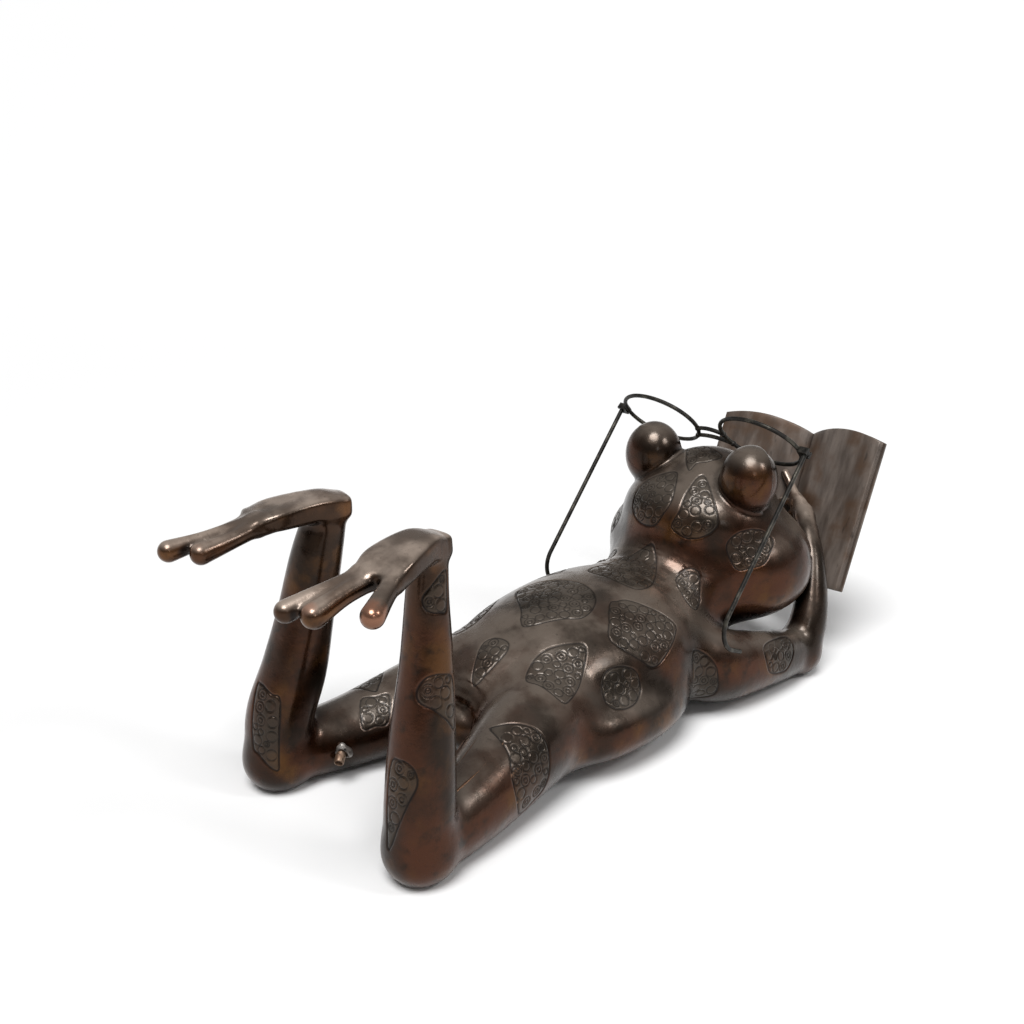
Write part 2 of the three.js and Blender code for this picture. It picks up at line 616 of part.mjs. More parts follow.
const pagesGrown = union([RIGHT, LEFT].map((side) => (
  solidOf(pageGeometry(side, SEAT_GAP).applyMatrix4(book.matrixWorld)))));

function placeArm(side, arm) {
  const { upperLimb, foreLimb, shoulder, elbow, wrist } = arm;
  const shoulderHole = pinHole(pinAxis(shoulder, DOWN));
  const elbowAxis = pinAxis(elbow, DOWN);
  const wristAxis = pinAxis(wrist, FORWARD);
  const upperCasting = casting(upperLimb, shoulder, between(upperLimb, shoulder, elbow), false);
  const upperArm = upperCasting.subtract(shoulderHole).subtract(pinHole(elbowAxis));
  place(`${side}_upper_arm`, upperArm.subtract(socket(foreLimb, elbow)), skinBronze);
  place(`${side}_elbow_pin`, jointPin(upperLimb, elbowAxis), pinBronze);
  const forearm = casting(foreLimb, elbow, between(foreLimb, elbow, wrist), false);
  place(`${side}_forearm`, forearm.subtract(pinHole(elbowAxis)).subtract(pinHole(wristAxis)), skinBronze);
  place(`${side}_wrist_pin`, jointPin(foreLimb, wristAxis), pinBronze);
  const palm = loft(arm.palm, Y_AXIS, 0, DIGIT_SIDES).intersect(ahead(wrist));
  const fingers = arm.fingers.map((finger) => loft(finger, Z_AXIS, 0, DIGIT_SIDES));
  const hand = union([foreLimb.skin.intersect(ahead(wrist)), palm, ...fingers]).subtract(pagesGrown);
  const pinned = hand.add(spigot(foreLimb, wrist)).subtract(pinHole(wristAxis));
  place(`${side}_hand`, pinned, footBronze);
}
placeArm('right', arms.right);
placeArm('left', arms.left);

// Spectacles, in the plane of the lenses: X across, Y up the lens, Z out of the lens
const spectacles = new THREE.Group();
const lensTilt = radians(LENS_TILT);
const lensUp = vector(0, Math.cos(lensTilt), Math.sin(lensTilt));
const lensOut = vector(0, -Math.sin(lensTilt), Math.cos(lensTilt));
function rimPoint(side, angle) {
  const across = side * RIM_HALF_SPACING + RIM_HALF_WIDTH * Math.cos(angle);
  return vector(across, RIM_HALF_HEIGHT * Math.sin(angle), 0);
}
function rimTangent(angle) {
  return vector(-RIM_HALF_WIDTH * Math.sin(angle), RIM_HALF_HEIGHT * Math.cos(angle), 0).normalize();
}
const rimAngles = Array.from({ length: RIM_STEPS }, (_, step) => (2 * Math.PI * step) / RIM_STEPS);
const eyeInLens = vector(EYE_HALF_SPACING, -RIM_RISE, 0);
const nearest = Math.min(...rimAngles.map((angle) => rimPoint(LEFT, angle).distanceTo(eyeInLens)));
const touching = EYE_RADIUS + RIM_WIRE / 2 + SEAT_GAP;
const lensHeight = Math.sqrt(touching ** 2 - nearest ** 2);
spectacles.position.set(0, headY, eyeZ);
spectacles.position.addScaledVector(lensUp, RIM_RISE).addScaledVector(lensOut, lensHeight);
spectacles.rotation.x = lensTilt;
statue.add(spectacles);

function rim(side, grow) {
  const radius = RIM_WIRE / 2 + grow;
  const rings = rimAngles.map((angle) => (
    ellipseRing(rimPoint(side, angle), rimTangent(angle), Z_AXIS, radius, radius, WIRE_SIDES)));
  return solidOf(skinOver(rings, true));
}
const rimsGrown = rim(RIGHT, SEAT_GAP).add(rim(LEFT, SEAT_GAP));
place('right_rim', rim(RIGHT, 0), darkWire, spectacles);
place('left_rim', rim(LEFT, 0), darkWire, spectacles);

function bridge(drop) {
  const reach = RIM_HALF_SPACING - RIM_HALF_WIDTH * Math.sqrt(1 - (drop / RIM_HALF_HEIGHT) ** 2);
  const points = Array.from({ length: BRIDGE_STEPS + 1 }, (_, step) => {
    const share = (2 * step) / BRIDGE_STEPS - 1;
    return vector(share * reach, BRIDGE_ARCH * (1 - share ** 2) - drop, 0);
  });
  return wire(points, RIM_WIRE, Z_AXIS).subtract(rimsGrown);
}
place('upper_bridge', bridge(UPPER_BRIDGE_DROP), darkWire, spectacles);
place('lower_bridge', bridge(LOWER_BRIDGE_DROP), darkWire, spectacles);

const box = (width, height, depth, centre) => {
  const geometry = new THREE.BoxGeometry(width, height, depth);
  geometry.translate(...centre.toArray());
  return solidOf(geometry);
};
const hingeX = RIM_HALF_SPACING + RIM_HALF_WIDTH + RIM_WIRE / 2 + HINGE_OFFSET;
const hingeSlot = HINGE_EYE_THICKNESS + 2 * SEAT_GAP;
const hingeHeight = hingeSlot + 2 * HINGE_EAR;
const templeDrop = radians(TEMPLE_DROP);
const hookTurn = radians(HOOK_TURN);
function placeTemple(name, side) {
  const axis = vector(side * hingeX, 0, 0);
  const top = axis.clone().addScaledVector(Y_AXIS, hingeHeight / 2);
  const bottom = axis.clone().addScaledVector(Y_AXIS, -hingeHeight / 2);
  const hole = clearHole(bottom, top, HINGE_PIN_DIAMETER, HINGE_PIN_CLEARANCE);
  const root = RIM_HALF_SPACING + RIM_HALF_WIDTH;
  const blockWidth = hingeX + HINGE_EYE_DIAMETER / 2 - root;
  const block = box(blockWidth, hingeHeight, HINGE_DEPTH, vector(side * (root + blockWidth / 2), 0, 0));
  const slotRoot = hingeX - HINGE_EYE_DIAMETER / 2 - SEAT_GAP;
  const slot = box(HINGE_EYE_DIAMETER * 2, hingeSlot, HINGE_DEPTH * 2,
    vector(side * (slotRoot + HINGE_EYE_DIAMETER), 0, 0));
  const slotted = block.subtract(slot).subtract(hole).subtract(rimsGrown);
  place(`${name}_hinge_block`, slotted, darkWire, spectacles);
  place(`${name}_hinge_pin`, rod(bottom, top, HINGE_PIN_DIAMETER), pinBronze, spectacles);
  const eyeTop = axis.clone().addScaledVector(Y_AXIS, HINGE_EYE_THICKNESS / 2);
  const eyeBottom = axis.clone().addScaledVector(Y_AXIS, -HINGE_EYE_THICKNESS / 2);
  const tang = box(HINGE_EYE_THICKNESS, HINGE_EYE_THICKNESS, TEMPLE_TANG,
    axis.clone().addScaledVector(Z_AXIS, -TEMPLE_TANG / 2));
  const along = vector(0, -Math.sin(templeDrop), -Math.cos(templeDrop));
  const forward = vector(0, -Math.cos(templeDrop), Math.sin(templeDrop));
  const wireStart = axis.clone().addScaledVector(Z_AXIS, -TEMPLE_TANG + HINGE_PIN_CLEARANCE);
  const hookStart = wireStart.clone().addScaledVector(along, TEMPLE_LENGTH);
  const points = Array.from({ length: STRAIGHT_STEPS }, (_, step) => (
    wireStart.clone().lerp(hookStart, step / STRAIGHT_STEPS)));
  for (let step = 0; step <= HOOK_STEPS; step += 1) {
    const turn = (hookTurn * step) / HOOK_STEPS;
    points.push(hookStart.clone()
      .addScaledVector(along, HOOK_RADIUS * Math.sin(turn))
      .addScaledVector(forward, HOOK_RADIUS * (1 - Math.cos(turn))));
  }
  points.push(points[points.length - 1].clone()
    .addScaledVector(along, HOOK_TAIL * Math.cos(hookTurn))
    .addScaledVector(forward, HOOK_TAIL * Math.sin(hookTurn)));
  const temple = rod(eyeBottom, eyeTop, HINGE_EYE_DIAMETER).add(tang).add(wire(points, TEMPLE_WIRE));
  place(`${name}_temple`, temple.subtract(hole), darkWire, spectacles);
}
placeTemple('right', RIGHT);
placeTemple('left', LEFT);

// The origin is under the middle of the whole statue
statue.updateMatrixWorld(true);
const middle = new THREE.Box3().setFromObject(statue, true).getCenter(vector(0, 0, 0));
statue.position.set(-middle.x, -middle.y, 0);
statue.updateMatrixWorld(true);

export default statue;
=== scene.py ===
import math

import bmesh
import bpy
import numpy as np
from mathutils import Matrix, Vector


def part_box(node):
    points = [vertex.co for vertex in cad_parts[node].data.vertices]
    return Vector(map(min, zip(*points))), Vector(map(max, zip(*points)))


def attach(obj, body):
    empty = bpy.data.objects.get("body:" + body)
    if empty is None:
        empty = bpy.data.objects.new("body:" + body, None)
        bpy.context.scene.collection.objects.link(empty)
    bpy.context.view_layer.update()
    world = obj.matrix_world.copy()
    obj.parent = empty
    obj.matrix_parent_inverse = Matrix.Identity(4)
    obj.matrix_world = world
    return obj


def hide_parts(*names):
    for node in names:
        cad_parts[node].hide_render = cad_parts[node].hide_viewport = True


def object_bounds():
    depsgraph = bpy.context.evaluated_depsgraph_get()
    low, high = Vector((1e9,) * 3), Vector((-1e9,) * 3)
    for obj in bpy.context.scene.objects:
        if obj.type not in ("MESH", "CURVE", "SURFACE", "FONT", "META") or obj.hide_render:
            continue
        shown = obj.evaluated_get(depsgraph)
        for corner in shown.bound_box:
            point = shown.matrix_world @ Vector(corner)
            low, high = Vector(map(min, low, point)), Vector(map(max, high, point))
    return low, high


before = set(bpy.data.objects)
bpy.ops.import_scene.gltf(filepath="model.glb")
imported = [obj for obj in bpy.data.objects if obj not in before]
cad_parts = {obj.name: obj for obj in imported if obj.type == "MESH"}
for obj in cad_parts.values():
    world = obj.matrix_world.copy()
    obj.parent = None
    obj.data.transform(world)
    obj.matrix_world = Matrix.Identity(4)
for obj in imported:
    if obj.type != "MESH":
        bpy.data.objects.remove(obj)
cad_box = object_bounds()

# The castings are laid out in millimetres from a point on the ground between the frog's knees.
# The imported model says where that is: midway across the book and a known way behind its front.
MM = 0.001
BOOK_FRONT_TO_KNEES = 713.5
book_low, book_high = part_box("book_cover")
ORIGIN = np.array([(book_low.x + book_high.x) / 2, book_low.y + BOOK_FRONT_TO_KNEES * MM, 0.0])
ACROSS = np.array([1.0, 0.0, 0.0])
TAILWARD = np.array([0.0, 1.0, 0.0])
UPWARD = np.array([0.0, 0.0, 1.0])
SIDES = (-1, 1)


def in_metres(points):
    return np.asarray(points, float) * MM + ORIGIN


def in_millimetres(points):
    return (np.asarray(points, float) - ORIGIN) / MM


# Torso, thighs and lower legs: hollow bronze, modelled in wax as long rounded forms run together.
# Each form follows a line of stations, with its half width and half height given at every one.
TORSO = [(0, -158, 46, 24, 22), (0, -170, 48, 50, 40), (0, -195, 54, 74, 53), (0, -228, 62, 90, 61),
         (0, -265, 69, 98, 67), (0, -310, 72, 103, 70), (0, -350, 72, 105, 70), (0, -390, 74, 94, 67),
         (0, -430, 88, 75, 61), (0, -465, 112, 66, 52)]
RIGHT_THIGH = [(-54, -210, 54, 52, 50), (-72, -160, 50, 45, 46), (-92, -85, 37, 35, 37),
               (-102, -22, 30, 29, 31)]
LEFT_THIGH = [(50, -210, 54, 50, 48), (68, -165, 44, 46, 40), (84, -95, 33, 38, 33), (97, -28, 30, 28, 30)]
RIGHT_SHIN = [(-104, -14, 28, 28, 28), (-105, -16, 70, 28, 28), (-101, -23, 120, 26, 26),
              (-93, -36, 180, 21, 21), (-86, -44, 232, 17, 17), (-83, -49, 266, 15, 15)]
LEFT_SHIN = [(98, -17, 28, 29, 29), (96, -20, 70, 30, 29), (92, -36, 115, 28, 28), (91, -51, 165, 25, 24),
             (88, -63, 215, 22, 22), (86, -74, 253, 18, 18)]
RIGHT_KNEE = ((-104, -17, 29), (28, 30, 30))
LEFT_KNEE = ((99, -17, 28), (29, 31, 29))
BELLY = ((0, -280, 42), (124, 132, 46))
TORSO_FILLET, BELLY_FILLET = 25, 16
THIGH_FILLET, KNEE_FILLET, SHIN_FILLET = 14, 8, 10
ROUND, SQUARISH = 2.0, 2.3
STEPS_A_SPAN = 4
SEARCH_STEPS, SEARCH_ROUNDS = 200, 2
LEAST_TURNING = 0.4
LUMP_CORE = 0.3
TINY = 1e-6
OUT_OF_REACH = 200.0
NEARBY = 45.0


def along_stations(stations, place):
    """Smooth values between stations, their slope and their bend, at places counted in spans."""
    padded = np.vstack([2 * stations[0] - stations[1], stations, 2 * stations[-1] - stations[-2]])
    span = np.clip(place.astype(int), 0, len(stations) - 2)
    t = (place - span)[:, None]
    before, start, end, after = (padded[span + step] for step in range(4))
    square = 2 * before - 5 * start + 4 * end - after
    cube = 3 * start - before - 3 * end + after
    value = start + 0.5 * ((end - before) * t + square * t**2 + cube * t**3)
    slope = 0.5 * ((end - before) + 2 * square * t + 3 * cube * t**2)
    return value, slope, square + 3 * cube * t


def unit(vectors):
    return vectors / np.linalg.norm(vectors, axis=-1, keepdims=True)


def lump_distance(offsets, halves, squareness):
    """Distance from the skin of a round or squared-off lump, from offsets along its three half sizes."""
    share = np.abs(offsets) / halves
    level = np.maximum((share**squareness).sum(1) ** (1 / squareness), TINY)
    slope = np.linalg.norm((share / level[:, None]) ** (squareness - 1) / halves, axis=1)
    within = (level - 1) * halves.min(axis=-1)
    return np.where(level < LUMP_CORE, within, (level - 1) / np.maximum(slope, TINY))


class Limb:
    """A form round a smooth line of stations: x, y, z, half width, half height."""

    def __init__(self, stations, up, squareness=ROUND):
        self.stations = np.array(stations, float)
        self.up = up
        self.squareness = squareness
        spans = len(stations) - 1
        self.places = np.linspace(0, spans, spans * STEPS_A_SPAN + 1)
        self.line = along_stations(self.stations, self.places)[0]
        margin = self.stations[:, 3:].max()
        self.low = self.line[:, :3].min(0) - margin
        self.high = self.line[:, :3].max(0) + margin

    def distance(self, points):
        place = np.zeros(len(points))
        closest = np.full(len(points), np.inf)
        for step in range(len(self.line) - 1):
            start = self.line[step]
            way = self.line[step + 1] - start
            t = np.clip((points - start[:3]) @ way[:3] / (way[:3] @ way[:3]), 0, 1)
            apart = points - start[:3] - t[:, None] * way[:3]
            size = (start[3] + start[4]) + t * (way[3] + way[4])
            measure = (apart * apart).sum(1) / (size * size)
            nearer = measure < closest
            closest[nearer] = measure[nearer]
            place[nearer] = self.places[step] + t[nearer] / STEPS_A_SPAN
        for _ in range(SEARCH_ROUNDS):
            section, slope, bend = (value[:, :3] for value in along_stations(self.stations, place))
            pull = ((points - section) * slope).sum(1)
            speed = (slope * slope).sum(1)
            turning = np.maximum(speed - ((points - section) * bend).sum(1), LEAST_TURNING * speed)
            place = np.clip(place + pull / turning, 0, len(self.stations) - 1)
        section, slope, _ = along_stations(self.stations, place)
        ahead = unit(slope[:, :3])
        over = unit(self.up - (ahead @ self.up)[:, None] * ahead)
        side = np.cross(over, ahead)
        apart = points - section[:, :3]
        offsets = np.stack([(apart * axis).sum(1) for axis in (side, over, ahead)], 1)
        wide, high = np.maximum(section[:, 3], 1), np.maximum(section[:, 4], 1)
        return lump_distance(offsets, np.stack([wide, high, np.minimum(wide, high)], 1), self.squareness)

    def passing(self, point):
        """Where the line passes nearest to a point, and its direction there."""
        fine = np.linspace(0, len(self.stations) - 1, SEARCH_STEPS)
        value, slope, _ = along_stations(self.stations, fine)
        nearest = np.argmin(np.linalg.norm(value[:, :3] - point, axis=1))
        return value[nearest, :3], unit(slope[nearest, :3])


class Ball:
    """An egg or ball: its centre and three half sizes."""

    def __init__(self, centre, halves, squareness=ROUND):
        self.centre = np.array(centre, float)
        self.halves = np.array(halves, float)
        self.squareness = squareness
        self.low = self.centre - self.halves
        self.high = self.centre + self.halves

    def distance(self, points):
        return lump_distance(points - self.centre, self.halves, self.squareness)


def soft_union(first, second, fillet):
    overlap = np.maximum(fillet - np.abs(first - second), 0) / fillet
    return np.minimum(first, second) - overlap * overlap * fillet / 4


def soft_cut(first, second, fillet):
    return -soft_union(-first, -second, fillet)


def joined(points, members):
    """Distance to several forms run together, each with the width of its fillet."""
    result = np.full(len(points), OUT_OF_REACH)
    for form, fillet in members:
        near = np.all((points > form.low - NEARBY) & (points < form.high + NEARBY), axis=1)
        if near.any():
            result[near] = soft_union(result[near], form.distance(points[near]), fillet)
    return result


torso = Limb(TORSO, UPWARD)
right_thigh, left_thigh = Limb(RIGHT_THIGH, UPWARD), Limb(LEFT_THIGH, UPWARD)
right_shin, left_shin = Limb(RIGHT_SHIN, TAILWARD, SQUARISH), Limb(LEFT_SHIN, TAILWARD, SQUARISH)
right_knee, left_knee = Ball(*RIGHT_KNEE), Ball(*LEFT_KNEE)
barrel = [(torso, TORSO_FILLET), (Ball(*BELLY, SQUARISH), BELLY_FILLET)]
legs = []
for thigh, knee, shin in ((right_thigh, right_knee, right_shin), (left_thigh, left_knee, left_shin)):
    legs += [(thigh, THIGH_FILLET), (knee, KNEE_FILLET), (shin, SHIN_FILLET)]

# Feet: flat three-toed castings held soles up, with round toe tips and a web at the root of the toes.
# They are pinned to the lower legs at the ankle and handled most, so they are worn to a warmer brown.
RIGHT_FOOT = [(-83, -55, 277, 14, 8.5), (-85, -38, 279, 19, 11), (-90, -8, 275, 24, 10),
              (-94, 8, 270, 22, 8)]
LEFT_FOOT = [(82, -84, 261, 15, 9.5), (87, -62, 263, 20, 11), (96, -30, 261, 24, 10),
             (101, -12, 258, 22, 8)]
RIGHT_TOES = [
    [(-84, 0, 270, 9, 8), (-74, 40, 262, 7, 7), (-66, 74, 252, 9, 9)],
    [(-92, 0, 270, 9, 8), (-89, 36, 262, 8, 8), (-87, 64, 252, 10, 10)],
    [(-100, -10, 272, 9, 8), (-115, 18, 266, 8, 8), (-128, 42, 258, 9.5, 9.5)],
]
LEFT_TOES = [
    [(90, -10, 258, 9, 8), (86, 22, 253, 7.5, 7.5), (88, 51, 248, 9.5, 9.5)],
    [(98, -10, 258, 9, 8), (104, 36, 253, 7, 7), (112, 67, 248, 9.5, 9.5)],
    [(106, -20, 258, 9, 8), (114, 8, 250, 7.5, 7.5), (120, 30, 244, 9, 9)],
]
FLATTENED = 4.4
FOOT_FILLET, TOE_FILLET = 10, 7
for foot, toes in ((RIGHT_FOOT, RIGHT_TOES), (LEFT_FOOT, LEFT_TOES)):
    legs.append((Limb(foot, UPWARD, FLATTENED), FOOT_FILLET))
    legs += [(Limb(toe, UPWARD), TOE_FILLET) for toe in toes]

# Arms and hands: the elbows rest on the ground and three thin fingers on each side hold the book open.
# The fingers lie on the pages, so the hands are cut back to the page surface with a hair's clearance.
UPPER_ARM = [(-60, -385, 64, 40, 44), (-88, -425, 47, 34, 38), (-99, -490, 37, 28, 30),
             (-100, -548, 26, 22, 24)]
ELBOW_CENTRE, ELBOW_HALVES = np.array([-99, -555, 24]), (22, 24, 23)
FOREARMS = {
    -1: [(-100, -556, 25, 22, 24), (-99, -573, 62, 19, 20), (-84, -594, 105, 14.5, 15),
         (-64, -613, 135, 11.5, 12), (-44, -632, 149, 10, 10)],
    1: [(100, -556, 25, 22, 24), (99, -572, 58, 19, 20), (94, -589, 88, 14.5, 15),
        (82, -603, 108, 11.5, 12), (66, -616, 120, 10, 10)],
}
PALMS = {
    -1: [(-48, -628, 147, 10.5, 9.5), (-30, -645, 151, 11, 8.5), (-18, -655, 153, 9, 7)],
    1: [(70, -612, 118, 10.5, 9.5), (52, -627, 122, 11, 8.5), (40, -637, 124, 9, 7)],
}
FINGERS = {
    -1: [[(-22, -651, 154, 6.5, 6), (-3, -667, 162, 5.2, 5), (12, -674, 174, 5, 5)],
         [(-22, -651, 150, 6.5, 6), (-6, -661, 147, 5.2, 5), (8, -666, 143, 5, 5)],
         [(-24, -649, 148, 6.5, 6), (-14, -655, 136, 5.2, 5), (-4, -661, 126, 5, 5)]],
    1: [[(44, -634, 125, 6.5, 6), (31, -644, 133, 5.2, 5), (23, -651, 141, 5, 5)],
        [(44, -634, 121, 6.5, 6), (30, -642, 118, 5.2, 5), (18, -647, 114, 5, 5)],
        [(46, -632, 119, 6.5, 6), (37, -634, 106, 5.2, 5), (28, -636, 95, 5, 5)]],
}
BOOK_FOOT = np.array([0.0, -646.0, 59.0])
BOOK_LEAN = math.radians(22.4)
BOOK_ACROSS = ACROSS
BOOK_FACING = np.array([0.0, math.cos(BOOK_LEAN), math.sin(BOOK_LEAN)])
BOOK_UPWARD = np.array([0.0, -math.sin(BOOK_LEAN), math.cos(BOOK_LEAN)])
COVER_SLOPE = math.tan(math.radians(15))
PAGE_LIFT = 0.3
PAGE_WIDTH = 103.0
PAGE_HEIGHT = 170.0
FORE_EDGE = 9.0
PAGE_SWELL = 18.0
GUTTER_RISE = 4.0
PAGE_ARCH = 9.0
RIGHT_PAGE_RISE = 6.0
SWELL_PLACES = (62, 26)
GUTTER_PLACE = 0.15
PAGE_POINTS = 25
PAGE_BORDER = 2
FINGER_CLEARANCE = 0.4
UPPER_ARM_FILLET, ELBOW_FILLET, FOREARM_FILLET, PALM_FILLET, FINGER_FILLET = 12, 8, 10, 8, 4


def on_cover(across):
    return across * COVER_SLOPE + PAGE_LIFT


def bezier(controls, count):
    t = np.linspace(0, 1, count)[:, None]
    first, second, third, fourth = np.array(controls, float)
    return first * (1 - t)**3 + second * 3 * t * (1 - t)**2 + third * 3 * t**2 * (1 - t) + fourth * t**3


page_controls = [(PAGE_WIDTH, on_cover(PAGE_WIDTH) + FORE_EDGE)]
page_controls += [(across, on_cover(across) + PAGE_SWELL) for across in SWELL_PLACES]
page_controls.append((GUTTER_PLACE, GUTTER_RISE))
page_top = bezier(page_controls, PAGE_POINTS)[::-1]


def above_pages(points):
    """Height over the open pages, far from them a large one."""
    apart = points - BOOK_FOOT
    across = np.abs(apart @ BOOK_ACROSS)
    height = apart @ BOOK_FACING - np.interp(across, page_top[:, 0], page_top[:, 1])
    up_page = apart @ BOOK_UPWARD
    beside = across > PAGE_WIDTH + PAGE_BORDER
    beside |= (up_page < -PAGE_BORDER) | (up_page > PAGE_HEIGHT + PAGE_ARCH)
    return np.where(beside, OUT_OF_REACH, height - FINGER_CLEARANCE)


arms, grip, upper_arms, forearms, elbows = [], [], {}, {}, {}
for side in SIDES:
    upper_arms[side] = Limb([(-side * x, *rest) for x, *rest in UPPER_ARM], UPWARD)
    forearms[side] = Limb(FOREARMS[side], TAILWARD)
    elbows[side] = Ball(ELBOW_CENTRE * (-side, 1, 1), ELBOW_HALVES)
    arms += [(upper_arms[side], UPPER_ARM_FILLET), (elbows[side], ELBOW_FILLET)]
    grip += [(forearms[side], FOREARM_FILLET), (Limb(PALMS[side], TAILWARD), PALM_FILLET)]
    grip += [(Limb(finger, UPWARD), FINGER_FILLET) for finger in FINGERS[side]]

# Head: one hollow casting with a wide soft jaw, round cheeks and two egg-shaped eye bulges on top.
# Each eye looks forwards from under a raised lid, and a shallow line round the front is the mouth.
SKULL = ((0, -500, 175), (85, 72, 50))
BROW = ((0, -522, 192), (60, 48, 46))
JAW = ((0, -518, 125), (118, 84, 69))
JAW_SQUARENESS = 2.2
EYE_CENTRE = (64, -497, 224)
EYE_HALVES = (31, 31, 36)
EYEBALL_SHARE = 0.92
EYE_LOOK = unit(np.array([0.3, -0.92, -0.1]))
LID_REACH = 7.0
MOUTH_LEVEL, MOUTH_RISE = 118.0, 16.0
MOUTH_HALF_WIDTH = 96.0
MOUTH_FRONT = -545.0
MOUTH_DEPTH, MOUTH_LINE, MOUTH_FADE = 3.4, 2.6, 20
NOSTRIL_CENTRE, NOSTRIL_HALVES = (17, -572, 187), (4.5, 4.5, 4.0)
SKULL_FILLET, BROW_FILLET, JAW_FILLET = 30, 25, 20
NOSTRIL_FILLET, LID_FILLET, EYE_FILLET = 3, 2, 5
skull = [(Ball(*SKULL), SKULL_FILLET), (Ball(*BROW), BROW_FILLET), (Ball(*JAW, JAW_SQUARENESS), JAW_FILLET)]


def head_distance(points):
    result = joined(points, skull)
    line = MOUTH_LEVEL + MOUTH_RISE * (points[:, 0] / MOUTH_HALF_WIDTH)**2
    fade = np.clip((MOUTH_FRONT - points[:, 1]) / MOUTH_FADE, 0, 1)
    result = result + MOUTH_DEPTH * fade * np.exp(-((points[:, 2] - line) / MOUTH_LINE)**2)
    for side in SIDES:
        turned = np.array([side, 1, 1])
        nostril = Ball(turned * NOSTRIL_CENTRE, NOSTRIL_HALVES).distance(points)
        result = soft_cut(result, -nostril, NOSTRIL_FILLET)
        bulge = Ball(turned * EYE_CENTRE, EYE_HALVES)
        eyeball = Ball(turned * EYE_CENTRE, EYEBALL_SHARE * bulge.halves)
        ahead = (points - bulge.centre) @ (turned * EYE_LOOK) - LID_REACH
        lid = soft_cut(bulge.distance(points), ahead, LID_FILLET)
        result = soft_union(result, np.minimum(lid, eyeball.distance(points)), EYE_FILLET)
    return result


CHEEK_CLEARANCE = 4.5
NECK_FILLET, LIMB_FILLET, HOLD_FILLET = 36, 13, 10
CONTACT_FILLET, GROUND_FILLET = 1, 4


def trunk_distance(points):
    return soft_union(joined(points, barrel), joined(points, legs + arms), LIMB_FILLET)


def frog_distance(points):
    """Distance from the whole frog's skin, cut flat where it lies on the ground."""
    limbs, face = joined(points, legs + arms), head_distance(points)
    core = soft_union(joined(points, barrel), face, NECK_FILLET)
    hold = soft_cut(joined(points, grip), -above_pages(points), CONTACT_FILLET)
    hold = soft_cut(soft_union(limbs, hold, HOLD_FILLET), CHEEK_CLEARANCE - face, CONTACT_FILLET)
    whole = np.minimum(soft_union(core, limbs, LIMB_FILLET), hold)
    return soft_cut(whole, -points[:, 2], GROUND_FILLET)


# The skin: the frog was modelled as one figure in wax and cut into castings afterwards, so its mesh is too.
# A net of square cells is drawn through the form, then made finer where it is thin or engraved.
NET = 3.0
ROOM = 12.0
COARSE = 4
NEAR_CELLS = 1.6


def net_over(distance, low, high, cell):
    """Points and four-sided faces, facing out, where a distance passes through nought."""
    counts = np.ceil((high - low) / cell).astype(int) + 1
    coarse_counts = counts // COARSE + 2
    axes = [low[axis] + COARSE * cell * np.arange(coarse_counts[axis]) for axis in range(3)]
    corners = np.stack(np.meshgrid(*axes, indexing="ij"), -1).reshape(-1, 3)
    coarse = distance(corners).reshape(coarse_counts)
    places = [(np.arange(count) + COARSE // 2) // COARSE for count in counts]
    values = coarse[np.ix_(*places)]
    near = np.abs(values) < COARSE * cell * NEAR_CELLS
    values[near] = distance(low + cell * np.argwhere(near))
    inside = values < 0
    shifts = [(i, j, k) for i in (0, 1) for j in (0, 1) for k in (0, 1)]
    windows = [inside[i:counts[0] - 1 + i, j:counts[1] - 1 + j, k:counts[2] - 1 + k] for i, j, k in shifts]
    crossed = np.any(windows, axis=0) & ~np.all(windows, axis=0)
    cells = np.argwhere(crossed)
    number = np.full(counts - 1, -1)
    number[crossed] = np.arange(len(cells))
    total, hits = np.zeros((len(cells), 3)), np.zeros(len(cells))
    for shift in shifts:
        for axis in range(3):
            if shift[axis]:
                continue
            far = np.array(shift)
            far[axis] = 1
            here, there = values[tuple((cells + shift).T)], values[tuple((cells + far).T)]
            crosses = (here < 0) != (there < 0)
            share = np.where(crosses, here / np.where(crosses, here - there, 1), 0)
            meeting = np.array(shift, float) + share[:, None] * (far - shift)
            total += np.where(crosses[:, None], meeting, 0)
            hits += crosses
    points = low + cell * (cells + total / hits[:, None])
    faces = []
    for axis in range(3):
        first, second = [other for other in range(3) if other != axis]
        here = np.take(inside, range(counts[axis] - 1), axis)
        there = np.take(inside, range(1, counts[axis]), axis)
        edges = np.argwhere(here != there)
        leaving = here[here != there] ^ (axis == 1)
        ring = []
        for back in ((1, 1), (0, 1), (0, 0), (1, 0)):
            cell_of = edges.copy()
            cell_of[:, first] -= back[0]
            cell_of[:, second] -= back[1]
            ring.append(number[tuple(cell_of.T)])
        ring = np.stack(ring, 1)
        faces.append(np.where(leaving[:, None], ring, ring[:, ::-1]))
    return points, np.vstack(faces)


def new_mesh(name, points, faces):
    mesh = bpy.data.meshes.new(name)
    mesh.from_pydata(points.tolist(), [], faces.tolist() if isinstance(faces, np.ndarray) else faces)
    return mesh


def new_piece(name, mesh):
    piece = bpy.data.objects.new(name, mesh)
    bpy.context.scene.collection.objects.link(piece)
    return piece


def positions(mesh):
    flat = np.empty(len(mesh.vertices) * 3, np.float32)
    mesh.vertices.foreach_get("co", flat)
    return flat.reshape(-1, 3).astype(float)


def facings(mesh):
    flat = np.empty(len(mesh.vertices) * 3, np.float32)
    mesh.vertex_normals.foreach_get("vector", flat)
    return flat.reshape(-1, 3).astype(float)


def settle(mesh, rounds):
    """Draws every point of the skin onto the form along its own normal."""
    for _ in range(rounds):
        points = in_millimetres(positions(mesh))
        points = points - frog_distance(points)[:, None] * facings(mesh)
        mesh.vertices.foreach_set("co", in_metres(points).ravel())
        mesh.update()


